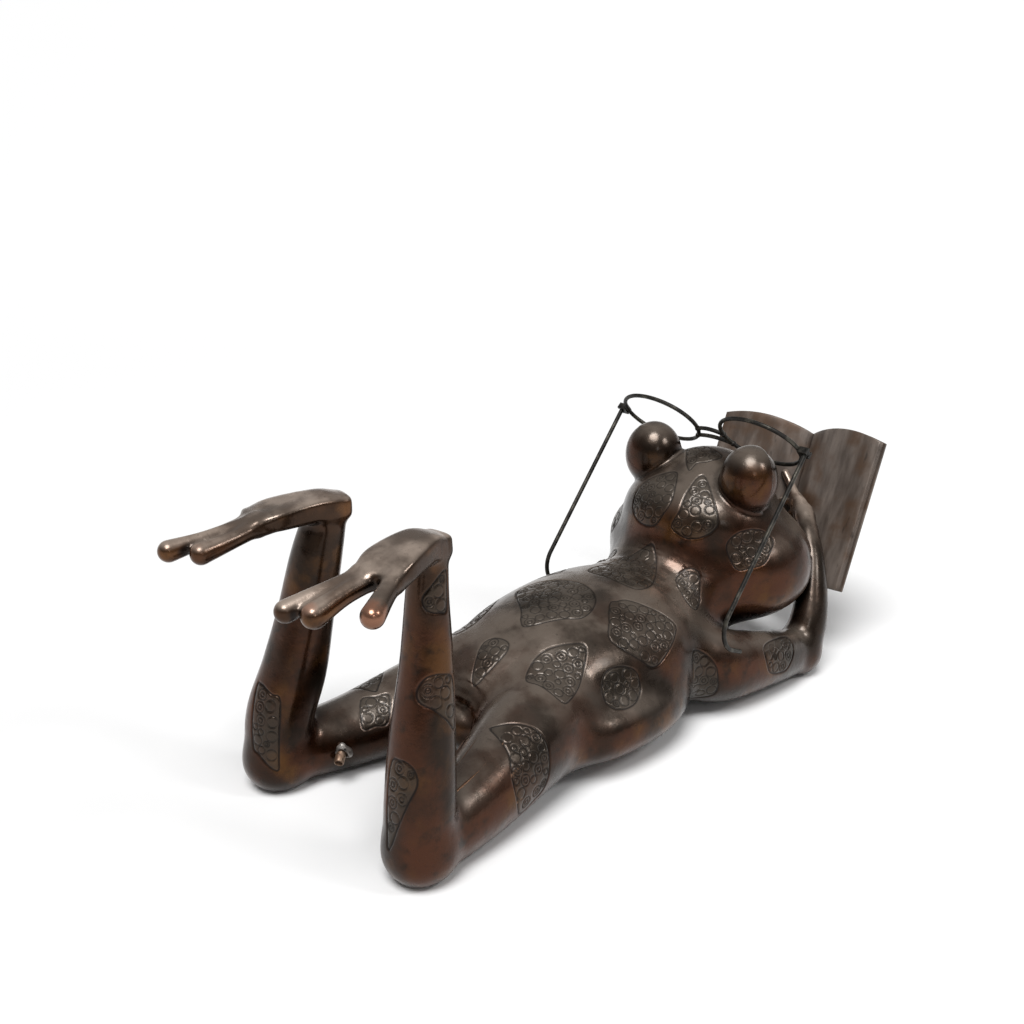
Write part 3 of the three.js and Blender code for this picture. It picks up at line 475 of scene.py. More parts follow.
def refine(mesh, wanted, cuts):
    """Divides the faces that have any wanted vertex."""
    shape = bmesh.new()
    shape.from_mesh(mesh)
    touched = [face for face in shape.faces if any(wanted[vertex.index] for vertex in face.verts)]
    chosen = dict.fromkeys(edge for face in touched for edge in face.edges)
    bmesh.ops.subdivide_edges(shape, edges=list(chosen), cuts=cuts, use_grid_fill=True)
    shape.to_mesh(mesh)
    shape.free()
    mesh.update()


statue_low = in_millimetres(cad_box[0]) - ROOM
statue_high = in_millimetres(cad_box[1]) + ROOM
skin = new_mesh("frog_skin", *net_over(frog_distance, statue_low, statue_high, NET))
skin.vertices.foreach_set("co", in_metres(positions(skin)).ravel())
skin.update()
settle(skin, rounds=2)

# Spots: patches engraved by hand in the skin, with a cut outline; the far side repeats some of them turned.
# A spot has a seat on the skin and an outline in the flat there: across, then along the frog or up the leg.
BACK_SPOTS = {
    "back_oval": ((-9, -265, 137), [(-57, 5), (-60, 25), (-41, 43), (-8, 51), (17, 42), (30, 24), (32, 6),
                                    (21, -9), (3, -37), (-8, -35), (-22, -21)]),
    "neck_wing": ((-10, -378, 140), [(-32, -29), (-35, 16), (-16, 39), (0, 36), (17, 19), (30, -5), (29, -23),
                                     (16, -29), (-2, -31)]),
    "side_trapezoid": ((-78, -313, 118), [(-39, -3), (-38, 7), (-32, 20), (5, 45), (19, 37), (32, 14),
                                          (36, -2), (28, -14), (-2, -35), (-21, -22)]),
    "shoulder_drop": ((-57, -414, 126), [(-14, -6), (-19, 9), (-10, 17), (2, 13), (18, 3), (22, -9),
                                         (8, -13)]),
    "rump_triangle": ((-69, -213, 104), [(-13, -28), (-25, -11), (-28, 8), (-19, 30), (-8, 40), (16, 14),
                                         (27, -9), (26, -20), (1, -25)]),
    "hip_round": ((-99, -266, 82), [(-7, -20), (-19, -9), (-18, 8), (-8, 22), (8, 21), (18, 8), (18, -10),
                                    (8, -22)]),
    "rump_drop": ((-6, -182, 107), [(1, -25), (-8, -12), (-20, 11), (-15, 23), (1, 26), (9, 18), (10, 1),
                                    (7, -25)]),
    "thigh_band": ((-115, -121, 68), [(-35, -3), (-36, 6), (-31, 18), (-20, 29), (-2, 33), (27, 25), (35, 10),
                                      (40, -5), (33, -14), (10, -16), (-10, -8)]),
    "shoulder_leaf": ((-105, -380, 58), [(-26, -12), (-20, 4), (-8, 14), (7, 17), (27, 16), (29, -9),
                                         (5, -13)]),
    "head_leaf": ((12, -438, 199), [(2, 37), (11, 30), (21, 4), (17, -13), (6, -27), (-13, -26), (-28, -16),
                                    (-33, -2), (-31, 17), (-19, 29)]),
    "head_drop": ((-37, -444, 197), [(-30, 29), (-19, 31), (20, 12), (27, 0), (23, -15), (13, -26), (-1, -30),
                                     (-8, -27), (-12, -12), (-22, 6)]),
    "brow_patch": ((-1, -499, 236), [(-17, -8), (-34, 23), (15, 12), (11, -6), (2, -14), (1, -26)]),
    "cheek_round": ((-83, -474, 157), [(-10, -21), (-19, -11), (-20, 5), (-14, 21), (-1, 29), (9, 21),
                                       (18, 9), (17, -6), (13, -19)]),
    "arm_patch": ((-124, -483, 52), [(-15, -16), (-15, 9), (-10, 32), (2, 28), (14, 18), (20, 7), (13, -18),
                                     (-5, -23)]),
    "inner_thigh_patch": ((57, -98, 60), [(-18, -4), (-13, 9), (-7, 20), (15, 5), (12, -7), (8, -18)]),
}
SHIN_SPOTS = {
    "shin_top": ((-101, -40, 240), [(-10, 0), (-4, 8), (13, 19), (10, -11), (3, -13), (-8, -9)]),
    "shin_mid": ((-117, -26, 165), [(-13, 9), (-5, 17), (9, 16), (19, 8), (15, -29), (6, -20), (-5, -9),
                                    (-14, -1)]),
    "shin_low": ((-113, 12, 91), [(-16, 17), (-5, 27), (7, 24), (12, 11), (6, -7), (-3, -31), (-13, -50)]),
    "left_shin_leaf": ((79, 5, 72), [(-17, 31), (-11, 37), (2, 31), (11, 25), (9, -25), (7, -41), (-9, -27),
                                     (-17, -18)]),
}
TURNED_SPOTS = {
    "side_trapezoid": (84, -335, 112),
    "rump_triangle": (74, -232, 100),
    "hip_round": (104, -290, 74),
    "cheek_round": (86, -478, 150),
    "arm_patch": (124, -487, 50),
    "shoulder_leaf": (107, -398, 56),
    "thigh_band": (112, -112, 54),
    "shoulder_drop": (60, -408, 124),
    "shin_mid": (118, -40, 150),
    "shin_top": (106, -60, 222),
}
SPOT_DEPTH = 34.0
SPOT_MARGIN, SPOT_CUTS = 2.5, 2
SPOT_LEAST_FACING = 0.15
NO_SPOT = 60.0
SEATING_ROUNDS = 4
PROBE = 0.5
FEET_ABOVE, FEET_BEHIND = 236, -110
HANDS_AHEAD, HANDS_ABOVE = -605, 85
FACE_AHEAD, FACE_ABOVE, FACE_HALF_WIDTH = -440, 95, 112


def steepest(points):
    """Outward direction of the form at points on it."""
    steps = np.eye(3) * PROBE
    return unit(np.stack([frog_distance(points + step) - frog_distance(points - step) for step in steps], 1))


def outline_distance(flat, outline):
    """Distance from a smooth closed outline in its own plane, below nought inside it."""
    count = len(outline)
    around = np.array([outline[-1], *outline, *outline[:2]], float)
    line = along_stations(around, np.linspace(1, count + 1, count * STEPS_A_SPAN, endpoint=False))[0]
    nearest = np.full(len(flat), np.inf)
    inside = np.zeros(len(flat), bool)
    for start, end in zip(line, np.roll(line, -1, axis=0)):
        way = end - start
        share = np.clip((flat - start) @ way / (way @ way), 0, 1)
        nearest = np.minimum(nearest, np.linalg.norm(flat - start - share[:, None] * way, axis=1))
        spans = (start[1] > flat[:, 1]) != (end[1] > flat[:, 1])
        crossing = start[0] + (flat[:, 1] - start[1]) * way[0] / (way[1] or TINY)
        inside ^= spans & (flat[:, 0] < crossing)
    return np.where(inside, -nearest, nearest)


spots = [(seat, -TAILWARD, outline) for seat, outline in BACK_SPOTS.values()]
spots += [(seat, UPWARD, outline) for seat, outline in SHIN_SPOTS.values()]
for name, seat in TURNED_SPOTS.items():
    lengthwise = -TAILWARD if name in BACK_SPOTS else UPWARD
    outline = (BACK_SPOTS | SHIN_SPOTS)[name][1]
    spots.append((seat, lengthwise, [(-across, along) for across, along in outline]))
seats = np.array([seat for seat, _, _ in spots], float)
for _ in range(SEATING_ROUNDS):
    seats = seats - frog_distance(seats)[:, None] * steepest(seats)
laid_spots = []
for seat, facing, (_, lengthwise, outline) in zip(seats, steepest(seats), spots):
    along = unit(lengthwise - (lengthwise @ facing) * facing)
    laid_spots.append((seat, facing, np.cross(along, facing), along, outline))


def spot_edges(points, normals):
    """Distance of every point of the skin from the outline of its spot, below nought inside."""
    result = np.full(len(points), NO_SPOT)
    for seat, facing, across, along, outline in laid_spots:
        apart = points - seat
        near = (np.abs(apart @ facing) < SPOT_DEPTH) & (normals @ facing > SPOT_LEAST_FACING)
        near &= np.linalg.norm(apart, axis=1) < 2 * NO_SPOT
        flat = np.stack([apart[near] @ across, apart[near] @ along], 1)
        result[near] = np.minimum(result[near], outline_distance(flat, outline))
    return result


refine(skin, spot_edges(in_millimetres(positions(skin)), facings(skin)) < SPOT_MARGIN, SPOT_CUTS)
skin_points = in_millimetres(positions(skin))
wide, back, high = skin_points.T
is_foot = (high > FEET_ABOVE) & (back > FEET_BEHIND)
is_hand = (back < HANDS_AHEAD) & (high > HANDS_ABOVE)
is_face = (back < FACE_AHEAD) & (high > FACE_ABOVE) & (np.abs(wide) < FACE_HALF_WIDTH)
is_plain = spot_edges(skin_points, facings(skin)) > SPOT_MARGIN
refine(skin, (is_foot | is_hand | is_face) & is_plain, cuts=1)
settle(skin, rounds=1)
skin_points = in_millimetres(positions(skin))
skin_facings = facings(skin)


def keep_values(mesh, name, values, kind="FLOAT"):
    """Stores a value for every point in a named layer of a mesh."""
    field = "vector" if kind == "FLOAT_VECTOR" else "value"
    numbers = np.asarray(values, bool if kind == "BOOLEAN" else np.float32)
    mesh.attributes.new(name, kind, "POINT").data.foreach_set(field, numbers.ravel())


keep_values(skin, "spot_edge", spot_edges(skin_points, skin_facings) * MM)

# Patina: heated chemical brown over bronze, waxed and buffed. It is near black in every hollow,
# reddish and amber where the torch was held longer, and on what faces up greyed by old wax and painted sheen.
HOLLOW_PROBE = 9.0
HANDLED_FEET, BEHIND_KNEES = (205, 258), -130
HANDLED_HANDS = (612, 645)
WORN_PLACES = [((-128, 42, 260), 13), ((-87, 66, 256), 8), ((88, 52, 250), 8), ((112, 67, 250), 7)]
hollow = np.clip(1 - frog_distance(skin_points + HOLLOW_PROBE * skin_facings) / HOLLOW_PROBE, 0, 1)
keep_values(skin, "hollow", hollow)
# How far each point faces up; the shader uses it to lay old wax and a painted sheen of the light from above
# on upper faces.
keep_values(skin, "skyward", skin_facings[:, 2])
worn = np.zeros(len(skin_points))
for place, radius in WORN_PLACES:
    worn = np.maximum(worn, 1 - np.linalg.norm(skin_points - place, axis=1) / radius)
keep_values(skin, "worn", np.clip(2 * worn, 0, 1))
at_feet = np.interp(skin_points[:, 2], HANDLED_FEET, (0, 1)) * (skin_points[:, 1] > BEHIND_KNEES)
at_hands = np.interp(-skin_points[:, 1], HANDLED_HANDS, (0, 1))
keep_values(skin, "handled", np.maximum(at_feet, at_hands))


def add(tree, kind, inputs=(), **settings):
    """Adds a node to a tree, with its settings and with values or sockets for its inputs."""
    made = tree.nodes.new(kind)
    for name, value in settings.items():
        setattr(made, name, value)
    for place, value in dict(inputs).items():
        if isinstance(value, bpy.types.NodeSocket):
            tree.links.new(value, made.inputs[place])
        else:
            made.inputs[place].default_value = value
    return made


def new_finish(name):
    material = bpy.data.materials.new(name)
    material.use_nodes = True
    material.node_tree.nodes.clear()
    return material, material.node_tree


def mixed(tree, share, first, second):
    mix = add(tree, "ShaderNodeMix", {0: share, 6: first, 7: second}, data_type="RGBA")
    return mix.outputs[2]


def ranged(tree, value, low, high, start=0.0, end=1.0):
    ends = {"Value": value, "From Min": low, "From Max": high, "To Min": start, "To Max": end}
    return add(tree, "ShaderNodeMapRange", ends, interpolation_type="SMOOTHSTEP").outputs[0]


def noise(tree, place, scale, detail):
    return add(tree, "ShaderNodeTexNoise", {"Vector": place, "Scale": scale, "Detail": detail}).outputs[0]


def mottle(tree, place, size, low, high, detail=5.0):
    return ranged(tree, noise(tree, place, 1 / size, detail), low, high)


def worked(tree, operation, first, second=0.0):
    return add(tree, "ShaderNodeMath", {0: first, 1: second}, operation=operation).outputs[0]


def product(tree, first, second):
    return worked(tree, "MULTIPLY", first, second)


def bumped(tree, strength, distance, height, **under):
    heights = {"Strength": strength, "Distance": distance, "Height": height}
    return add(tree, "ShaderNodeBump", heights | under).outputs[0]


def object_place(tree):
    return add(tree, "ShaderNodeTexCoord").outputs["Object"]


def close_finish(tree, sockets):
    """Ends a finish in one shader with these values or sockets."""
    shader = add(tree, "ShaderNodeBsdfPrincipled", sockets)
    add(tree, "ShaderNodeOutputMaterial", {"Surface": shader.outputs[0]})


def reading(tree, name):
    return add(tree, "ShaderNodeAttribute", attribute_name=name).outputs["Fac"]


def rgb(red, green, blue):
    return (red, green, blue, 1.0)


# The last tone of each set is old wax made pale as a painted sheen of the light from above; the handled set's
# is paler still, for the upturned soles.
BODY_TONES = (rgb(0.017, 0.009, 0.0045), rgb(0.060, 0.020, 0.008), rgb(0.085, 0.035, 0.008),
              rgb(0.165, 0.131, 0.105))
HANDLED_TONES = (rgb(0.036, 0.018, 0.009), rgb(0.085, 0.037, 0.016), rgb(0.150, 0.066, 0.022),
                 rgb(0.420, 0.335, 0.275))
SPOT_TONE = rgb(0.050, 0.042, 0.032)
WORN_TONE = rgb(0.42, 0.20, 0.125)
NEAR_BLACK = rgb(0.006, 0.004, 0.003)
RUDDY_PATCHES, AMBER_PATCHES = (0.085, 0.40, 0.60), (0.045, 0.5, 0.7)
BROWN_FLECKS, DARK_SPECKS = (0.013, 0.5, 0.8), (0.0035, 0.62, 0.76)
WAX_SHEEN_PATCHES, BARE_PATCHES, ROUGH_PATCHES = (0.05, 0.3, 0.62), (0.012, 0.3, 0.5), (0.02, 0.3, 0.75)
SIDE_FACES, UPPER_FACES = (0.8, 0.0), (0.28, 0.95)
THINNEST_WAX_SHEEN = 0.4
SPOT_EDGE, SPOT_SHADE = (0.0005, -0.0015), 0.5
SPECK_SHADE = 0.4
HOLLOWS, HOLLOW_SHADE = (0.12, 0.75), 0.9
CUTS, CUT_SHADE, CUT_ROUGHNESS = (0.15, 0.9), 0.85, 0.3
BRONZE_ROUGHNESS, BRONZE_METALLIC = (0.23, 0.35), (0.85, 0.4)
DENTS, DENT_RELIEF = (70.0, 3.0), (0.3, 0.0016)
PITS, PIT_RELIEF = (620.0, 2.0), (0.18, 0.0003)
BRONZE_COAT, BRONZE_COAT_ROUGHNESS = 0.15, 0.14


def bronze(name):
    """Waxed patina: dark brown, red brown, amber, and old wax lightened by painted sheen on upper faces,
    warmer where it is handled.
    """
    material, tree = new_finish(name)
    place = object_place(tree)
    skyward, handled, cut = (reading(tree, key) for key in ("skyward", "handled", "groove"))
    tones = zip(BODY_TONES, HANDLED_TONES)
    brown, ruddy, amber, wax_and_sheen_tone = (mixed(tree, handled, plain, warm) for plain, warm in tones)
    colour = mixed(tree, mottle(tree, place, *RUDDY_PATCHES), brown, ruddy)
    side = ranged(tree, skyward, *SIDE_FACES)
    colour = mixed(tree, product(tree, side, mottle(tree, place, *AMBER_PATCHES)), colour, amber)
    colour = mixed(tree, mottle(tree, place, *BROWN_FLECKS), colour, brown)
    # Upper faces get the wax tone in patches: old wax together with a painted sheen of the light from above.
    patches = ranged(tree, mottle(tree, place, *WAX_SHEEN_PATCHES), 0.0, 1.0, THINNEST_WAX_SHEEN, 1.0)
    wax_and_sheen = product(tree, ranged(tree, skyward, *UPPER_FACES), patches)
    colour = mixed(tree, wax_and_sheen, colour, wax_and_sheen_tone)
    in_spot = ranged(tree, reading(tree, "spot_edge"), *SPOT_EDGE, 0.0, SPOT_SHADE)
    colour = mixed(tree, in_spot, colour, SPOT_TONE)
    specks = product(tree, mottle(tree, place, *DARK_SPECKS), SPECK_SHADE)
    colour = mixed(tree, specks, colour, NEAR_BLACK)
    bare = product(tree, reading(tree, "worn"), mottle(tree, place, *BARE_PATCHES))
    colour = mixed(tree, bare, colour, WORN_TONE)
    sunk = ranged(tree, reading(tree, "hollow"), *HOLLOWS, 0.0, HOLLOW_SHADE)
    colour = mixed(tree, sunk, colour, NEAR_BLACK)
    colour = mixed(tree, ranged(tree, cut, *CUTS, 0.0, CUT_SHADE), colour, NEAR_BLACK)
    rough = ranged(tree, mottle(tree, place, *ROUGH_PATCHES), 0.0, 1.0, *BRONZE_ROUGHNESS)
    rough = worked(tree, "ADD", rough, product(tree, cut, CUT_ROUGHNESS))
    relief = bumped(tree, *DENT_RELIEF, noise(tree, place, *DENTS))
    relief = bumped(tree, *PIT_RELIEF, noise(tree, place, *PITS), Normal=relief)
    close_finish(tree, {
        "Base Color": colour, "Roughness": rough, "Normal": relief,
        "Metallic": ranged(tree, wax_and_sheen, 0.0, 1.0, *BRONZE_METALLIC),
        "Coat Weight": BRONZE_COAT, "Coat Roughness": BRONZE_COAT_ROUGHNESS})
    return material


bronze_skin = bronze("bronze_skin")
bronze_feet = bronze("bronze_feet")

# Ring stamps: every spot is filled with round punch marks, some of them double, struck one by one.
# The large ones were set close together first and smaller ones filled in, all sunk into the skin.
RING_RADII = (5.2, 4.5, 3.7, 2.9)
RING_TRIES = 1200
RING_GAP = 1.0
DOUBLE_SHARE = 0.4
INNER_SHARE = 0.42
GROOVE_WIDTH = 0.0010
GROOVE_DEPTH = 0.0009
OUTLINE_WIDTH = 0.0015
RING_SEED = 11
RING_SIDES = 24
STRIKE_ROUNDS = 5
LEAST_SLANT = 0.3
ON_SKIN = 0.3


def ring_places(outline, draw):
    """Middles and radii of marks that fill an outline without touching."""
    marks = []
    corners = np.array(outline, float)
    for radius in RING_RADII:
        tries = draw.uniform(corners.min(0), corners.max(0), (RING_TRIES, 2))
        room = -outline_distance(tries, outline) - radius - RING_GAP
        for across, along, other in marks:
            apart = np.hypot(tries[:, 0] - across, tries[:, 1] - along)
            room = np.minimum(room, apart - radius - other - RING_GAP)
        while (room >= 0).any():
            best = np.argmin(np.where(room >= 0, room, np.inf))
            marks.append((*tries[best], radius))
            apart = np.linalg.norm(tries - tries[best], axis=1)
            room = np.minimum(room, apart - 2 * radius - RING_GAP)
    return np.array(marks).reshape(-1, 3)


draw = np.random.default_rng(RING_SEED)
middles, radii = [], []
for seat, facing, across, along, outline in laid_spots:
    marks = ring_places(outline, draw)
    struck = seat + marks[:, :1] * across + marks[:, 1:2] * along
    for _ in range(STRIKE_ROUNDS):
        slant = np.maximum(steepest(struck) @ facing, LEAST_SLANT)
        struck = struck - (frog_distance(struck) / slant)[:, None] * facing
    on_skin = (np.abs(frog_distance(struck)) < ON_SKIN) & (np.abs((struck - seat) @ facing) < SPOT_DEPTH)
    middles.append(struck[on_skin])
    radii.append(marks[on_skin, 2])
middles, radii = np.vstack(middles), np.concatenate(radii)
ring_mesh = new_mesh("ring_marks", in_metres(middles), [])
keep_values(ring_mesh, "radius", radii * MM)
keep_values(ring_mesh, "facing", steepest(middles), "FLOAT_VECTOR")
keep_values(ring_mesh, "double", draw.random(len(radii)) < DOUBLE_SHARE, "BOOLEAN")
ring_marks = new_piece("ring_marks", ring_mesh)


def new_shape_tree(name, sizes):
    """An empty Geometry Nodes tree with a geometry in and out, and a named input for each size."""
    tree = bpy.data.node_groups.new(name, "GeometryNodeTree")
    tree.interface.new_socket("Geometry", in_out="INPUT", socket_type="NodeSocketGeometry")
    for size in sizes:
        tree.interface.new_socket(size, in_out="INPUT", socket_type="NodeSocketFloat")
    tree.interface.new_socket("Geometry", in_out="OUTPUT", socket_type="NodeSocketGeometry")
    return tree, tree.nodes.new("NodeGroupInput").outputs


def stored(tree, name, kind="FLOAT"):
    return add(tree, "GeometryNodeInputNamedAttribute", {"Name": name}, data_type=kind).outputs[0]


def close_tree(tree, geometry, material):
    """Ends a tree in real geometry, shaded smooth, with its material."""
    smooth = add(tree, "GeometryNodeSetShadeSmooth", {"Geometry": geometry})
    real = add(tree, "GeometryNodeRealizeInstances", {"Geometry": smooth.outputs[0]})
    dressed = add(tree, "GeometryNodeSetMaterial", {"Geometry": real.outputs[0], "Material": material})
    add(tree, "NodeGroupOutput", {0: dressed.outputs[0]})


def shaped(name, mesh, tree, sizes):
    """The plain mesh that a tree makes from a mesh, with the tree's sizes set."""
    piece = new_piece(name, mesh)
    modifier = piece.modifiers.new(tree.name, "NODES")
    modifier.node_group = tree
    for item in tree.interface.items_tree:
        if item.in_out == "INPUT" and item.name in sizes:
            modifier[item.identifier] = sizes[item.name]
    graph = bpy.context.evaluated_depsgraph_get()
    result = bpy.data.meshes.new_from_object(piece.evaluated_get(graph), preserve_all_data_layers=True,
                                             depsgraph=graph)
    piece.modifiers.clear()
    piece.data = result
    return piece


stamps = {"Inner Share": INNER_SHARE, "Groove Width": GROOVE_WIDTH, "Groove Depth": GROOVE_DEPTH,
          "Outline Width": OUTLINE_WIDTH}
tree, size = new_shape_tree("ring_stamps", stamps)
edge, radius, double = stored(tree, "spot_edge"), stored(tree, "radius"), stored(tree, "double", "BOOLEAN")
facing = stored(tree, "facing", "FLOAT_VECTOR")
turn = add(tree, "FunctionNodeAlignRotationToVector", {"Vector": facing}, axis="Z").outputs[0]
struck = add(tree, "GeometryNodeObjectInfo", {"Object": ring_marks}).outputs["Geometry"]
circle = add(tree, "GeometryNodeCurvePrimitiveCircle", {"Resolution": RING_SIDES, "Radius": 1.0}).outputs[0]
marks = []
for scale, chosen in ((radius, True), (product(tree, radius, size["Inner Share"]), double)):
    marks.append(add(tree, "GeometryNodeInstanceOnPoints", {
        "Points": struck, "Instance": circle, "Selection": chosen, "Rotation": turn, "Scale": scale}))
both = add(tree, "GeometryNodeJoinGeometry", {0: marks[0].outputs[0]})
tree.links.new(marks[1].outputs[0], both.inputs[0])
loose = add(tree, "GeometryNodeRealizeInstances", {"Geometry": both.outputs[0]})
wires = add(tree, "GeometryNodeCurveToMesh", {"Curve": loose.outputs[0]})
away = add(tree, "GeometryNodeProximity", {0: wires.outputs[0]}, target_element="EDGES").outputs["Distance"]
ring_cut = ranged(tree, away, size["Groove Width"], 0.0)
outline_cut = ranged(tree, worked(tree, "ABSOLUTE", edge), size["Outline Width"], 0.0)
groove = worked(tree, "MAXIMUM", ring_cut, outline_cut)
grooved = {"Geometry": size["Geometry"], "Name": "groove", "Value": groove}
kept = add(tree, "GeometryNodeStoreNamedAttribute", grooved, data_type="FLOAT", domain="POINT")
sink = product(tree, product(tree, groove, size["Groove Depth"]), -1.0)
outward = add(tree, "GeometryNodeInputNormal").outputs[0]
way_in = add(tree, "ShaderNodeVectorMath", {0: outward, "Scale": sink}, operation="SCALE")
pressed = add(tree, "GeometryNodeSetPosition", {"Geometry": kept.outputs[0], "Offset": way_in.outputs[0]})
close_tree(tree, pressed.outputs[0], bronze_skin)
stamped = shaped("stamped_skin", skin, tree, stamps)
bpy.data.objects.remove(ring_marks)

# Castings: the figure is cut at its joints into fourteen hollow castings, lapped, pinned and chased flush.
# Every cut is closed, and the faces keep the whole figure's shading so that no seam shows.
JOINTS = {
    "hip": {-1: right_thigh, 1: left_thigh},
    "ankle": {-1: right_shin, 1: left_shin},
    "shoulder": upper_arms,
    "wrist": forearms,
}
MITRES = {
    "knee": ({-1: right_knee, 1: left_knee}, unit(TAILWARD + UPWARD)),
    "elbow": (elbows, unit(UPWARD - TAILWARD)),
}
CUT_REACH = {"hip": 66, "ankle": 36, "shoulder": 62, "wrist": 20, "knee": 58, "elbow": 64}
SKIN_VALUES = ("groove", "hollow", "skyward", "worn", "handled", "spot_edge")
SKIN_REACH = 12.0
PLANE_REACH = 24.0
SIDE_NAMES = {-1: "right", 1: "left"}


def pin_centre(pin):
    low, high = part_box(pin)
    return in_millimetres((np.array(low) + np.array(high)) / 2)


def near_plane(apart, normal, radius):
    return (np.linalg.norm(apart, axis=1) < radius) & (np.abs(apart @ normal) < PLANE_REACH)


def plane_levels(points):
    """Distance past the nearest joint's plane, or nothing away from the joints."""
    levels = np.full(len(points), np.nan)
    body = joined(points, barrel)
    face = joined(points, skull)
    for side in SIDES:
        for joint, lines in JOINTS.items():
            centre, heading = lines[side].passing(pin_centre(f"{SIDE_NAMES[side]}_{joint}_pin"))
            near = near_plane(points - centre, heading, CUT_REACH[joint])
            level = (points[near] - centre) @ heading
            if joint == "shoulder":
                own = lines[side].distance(points[near])
                level = np.minimum(level, body[near] - own)
                level[face[near] < own] = np.nan
            levels[near] = level
        for joint, (balls, normal) in MITRES.items():
            apart = points - balls[side].centre
            near = near_plane(apart, normal, CUT_REACH[joint])
            levels[near] = apart[near] @ normal
    return levels


def neck_levels(points):
    """Above nought on the head and below on the trunk, or nothing away from both."""
    trunk, face = trunk_distance(points), head_distance(points)
    return np.where(np.minimum(trunk, face) < SKIN_REACH, trunk - face, np.nan)


def score(shape, levels):
    """Divides the faces along the line where the levels pass through nought, and returns its edges."""
    crossing = []
    for edge in shape.edges:
        first, second = (levels[vertex.index] for vertex in edge.verts)
        if first * second < 0:
            crossing.append((edge, first / (first - second)))
    made = [bmesh.utils.edge_split(edge, edge.verts[0], share)[1] for edge, share in crossing]
    return bmesh.ops.connect_verts(shape, verts=made)["edges"]


def islands(items, beside):
    """Groups of faces or edges that hang together, given what lies beside each one."""
    left = dict.fromkeys(items)
    while left:
        group, front = [], [left.popitem()[0]]
        while front:
            item = front.pop()
            group.append(item)
            for other in beside(item):
                if other in left:
                    del left[other]
                    front.append(other)
        yield group


def faces_beside(face):
    return [other for edge in face.edges for other in edge.link_faces]


def edges_beside(edge):
    return [other for vertex in edge.verts for other in vertex.link_edges]


figure = bmesh.new()
figure.from_mesh(stamped.data)
for levels_of in (neck_levels, plane_levels):
    figure.verts.index_update()
    levels = levels_of(in_millimetres([vertex.co for vertex in figure.verts]))
    seam = score(figure, levels)
    figure.normal_update()
    directions = figure.verts.layers.float_vector
    whole = directions.get("facing") or directions.new("facing")
    for vertex in figure.verts:
        if not vertex[whole].length:
            vertex[whole] = vertex.normal
    bmesh.ops.split_edges(figure, edges=seam)
figure.faces.index_update()
bpy.data.objects.remove(stamped)

CASTINGS = ["torso_shell", "head_shell"]
for side in SIDE_NAMES.values():
    CASTINGS += [f"{side}_{part}" for part in ("thigh", "shin", "foot", "upper_arm", "forearm", "hand")]
casting_boxes = {name: np.array([list(corner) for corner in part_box(name)]) for name in CASTINGS}


def close_ends(shape):
    """Closes every open end of a casting with faces that meet at its middle."""
    open_edges = [edge for edge in shape.edges if edge.is_boundary]
    for loop in islands(open_edges, edges_beside):
        corners = dict.fromkeys(vertex for edge in loop for vertex in edge.verts)
        middle = shape.verts.new(sum((vertex.co for vertex in corners), Vector()) / len(corners))
        for edge in loop:
            corner = edge.link_loops[0]
            cap = shape.faces.new((corner.link_loop_next.vert, corner.vert, middle))
            cap.smooth = False


def casting(name, faces):
    """One casting as its own piece, closed, with the whole figure's normals on its skin."""
    corners = dict.fromkeys(vertex for face in faces for vertex in face.verts)
    order = {vertex: number for number, vertex in enumerate(corners)}
    whole = figure.verts.layers.float_vector["facing"]
    mesh = new_mesh(name, np.array([vertex.co for vertex in order]),
                    [[order[vertex] for vertex in face.verts] for face in faces])
    normals = [vertex[whole] for vertex in order]
    for key in SKIN_VALUES:
        layer = figure.verts.layers.float[key]
        keep_values(mesh, key, [vertex[layer] for vertex in order])
    shape = bmesh.new()
    shape.from_mesh(mesh)
    for face in shape.faces:
        face.smooth = True
    close_ends(shape)
    shape.to_mesh(mesh)
    shape.free()
    normals += [vertex.normal for vertex in mesh.vertices[len(normals):]]
    mesh.normals_split_custom_set_from_vertices(normals)
    return new_piece(name + "_cast", mesh)


for group in islands(figure.faces, faces_beside):
    corners = np.array([vertex.co for face in group for vertex in face.verts])
    box = np.array([corners.min(0), corners.max(0)])
    name = min(casting_boxes, key=lambda other: np.abs(casting_boxes[other] - box).max())
    del casting_boxes[name]
    piece = casting(name, sorted(group, key=lambda face: face.index))
    handled = name.endswith(("foot", "hand"))
    piece.data.materials.append(bronze_feet if handled else bronze_skin)
    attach(piece, "frog")
    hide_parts(name)
figure.free()

# Joint pins: plain turned bronze rods driven through each lapped joint, hidden under the chased skin.
# They keep the colour of fresh-cut bronze, with the turning marks of the rod running round them.
PIN_COLOUR, PIN_SHADOW = rgb(0.30, 0.15, 0.07), rgb(0.16, 0.075, 0.035)
PIN_MARKS, PIN_MARK_RANGE, PIN_RELIEF = (900.0, 2.0), (0.35, 0.65), (0.2, 0.0002)
PIN_ROUGHNESS = 0.4
bronze_pin, tree = new_finish("bronze_pin")
marks = noise(tree, object_place(tree), *PIN_MARKS)
shade = mixed(tree, ranged(tree, marks, *PIN_MARK_RANGE), PIN_SHADOW, PIN_COLOUR)
relief = bumped(tree, *PIN_RELIEF, marks)
close_finish(tree, {"Base Color": shade, "Metallic": 1.0, "Roughness": PIN_ROUGHNESS, "Normal": relief})


def paint_node(name, material):
    for material_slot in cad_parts[name].material_slots:
        material_slot.material = material


pins = [f"{side}_{joint}_pin" for side in SIDE_NAMES.values() for joint in (*JOINTS, *MITRES)]
for pin in ["neck_pin"] + pins:
    paint_node(pin, bronze_pin)

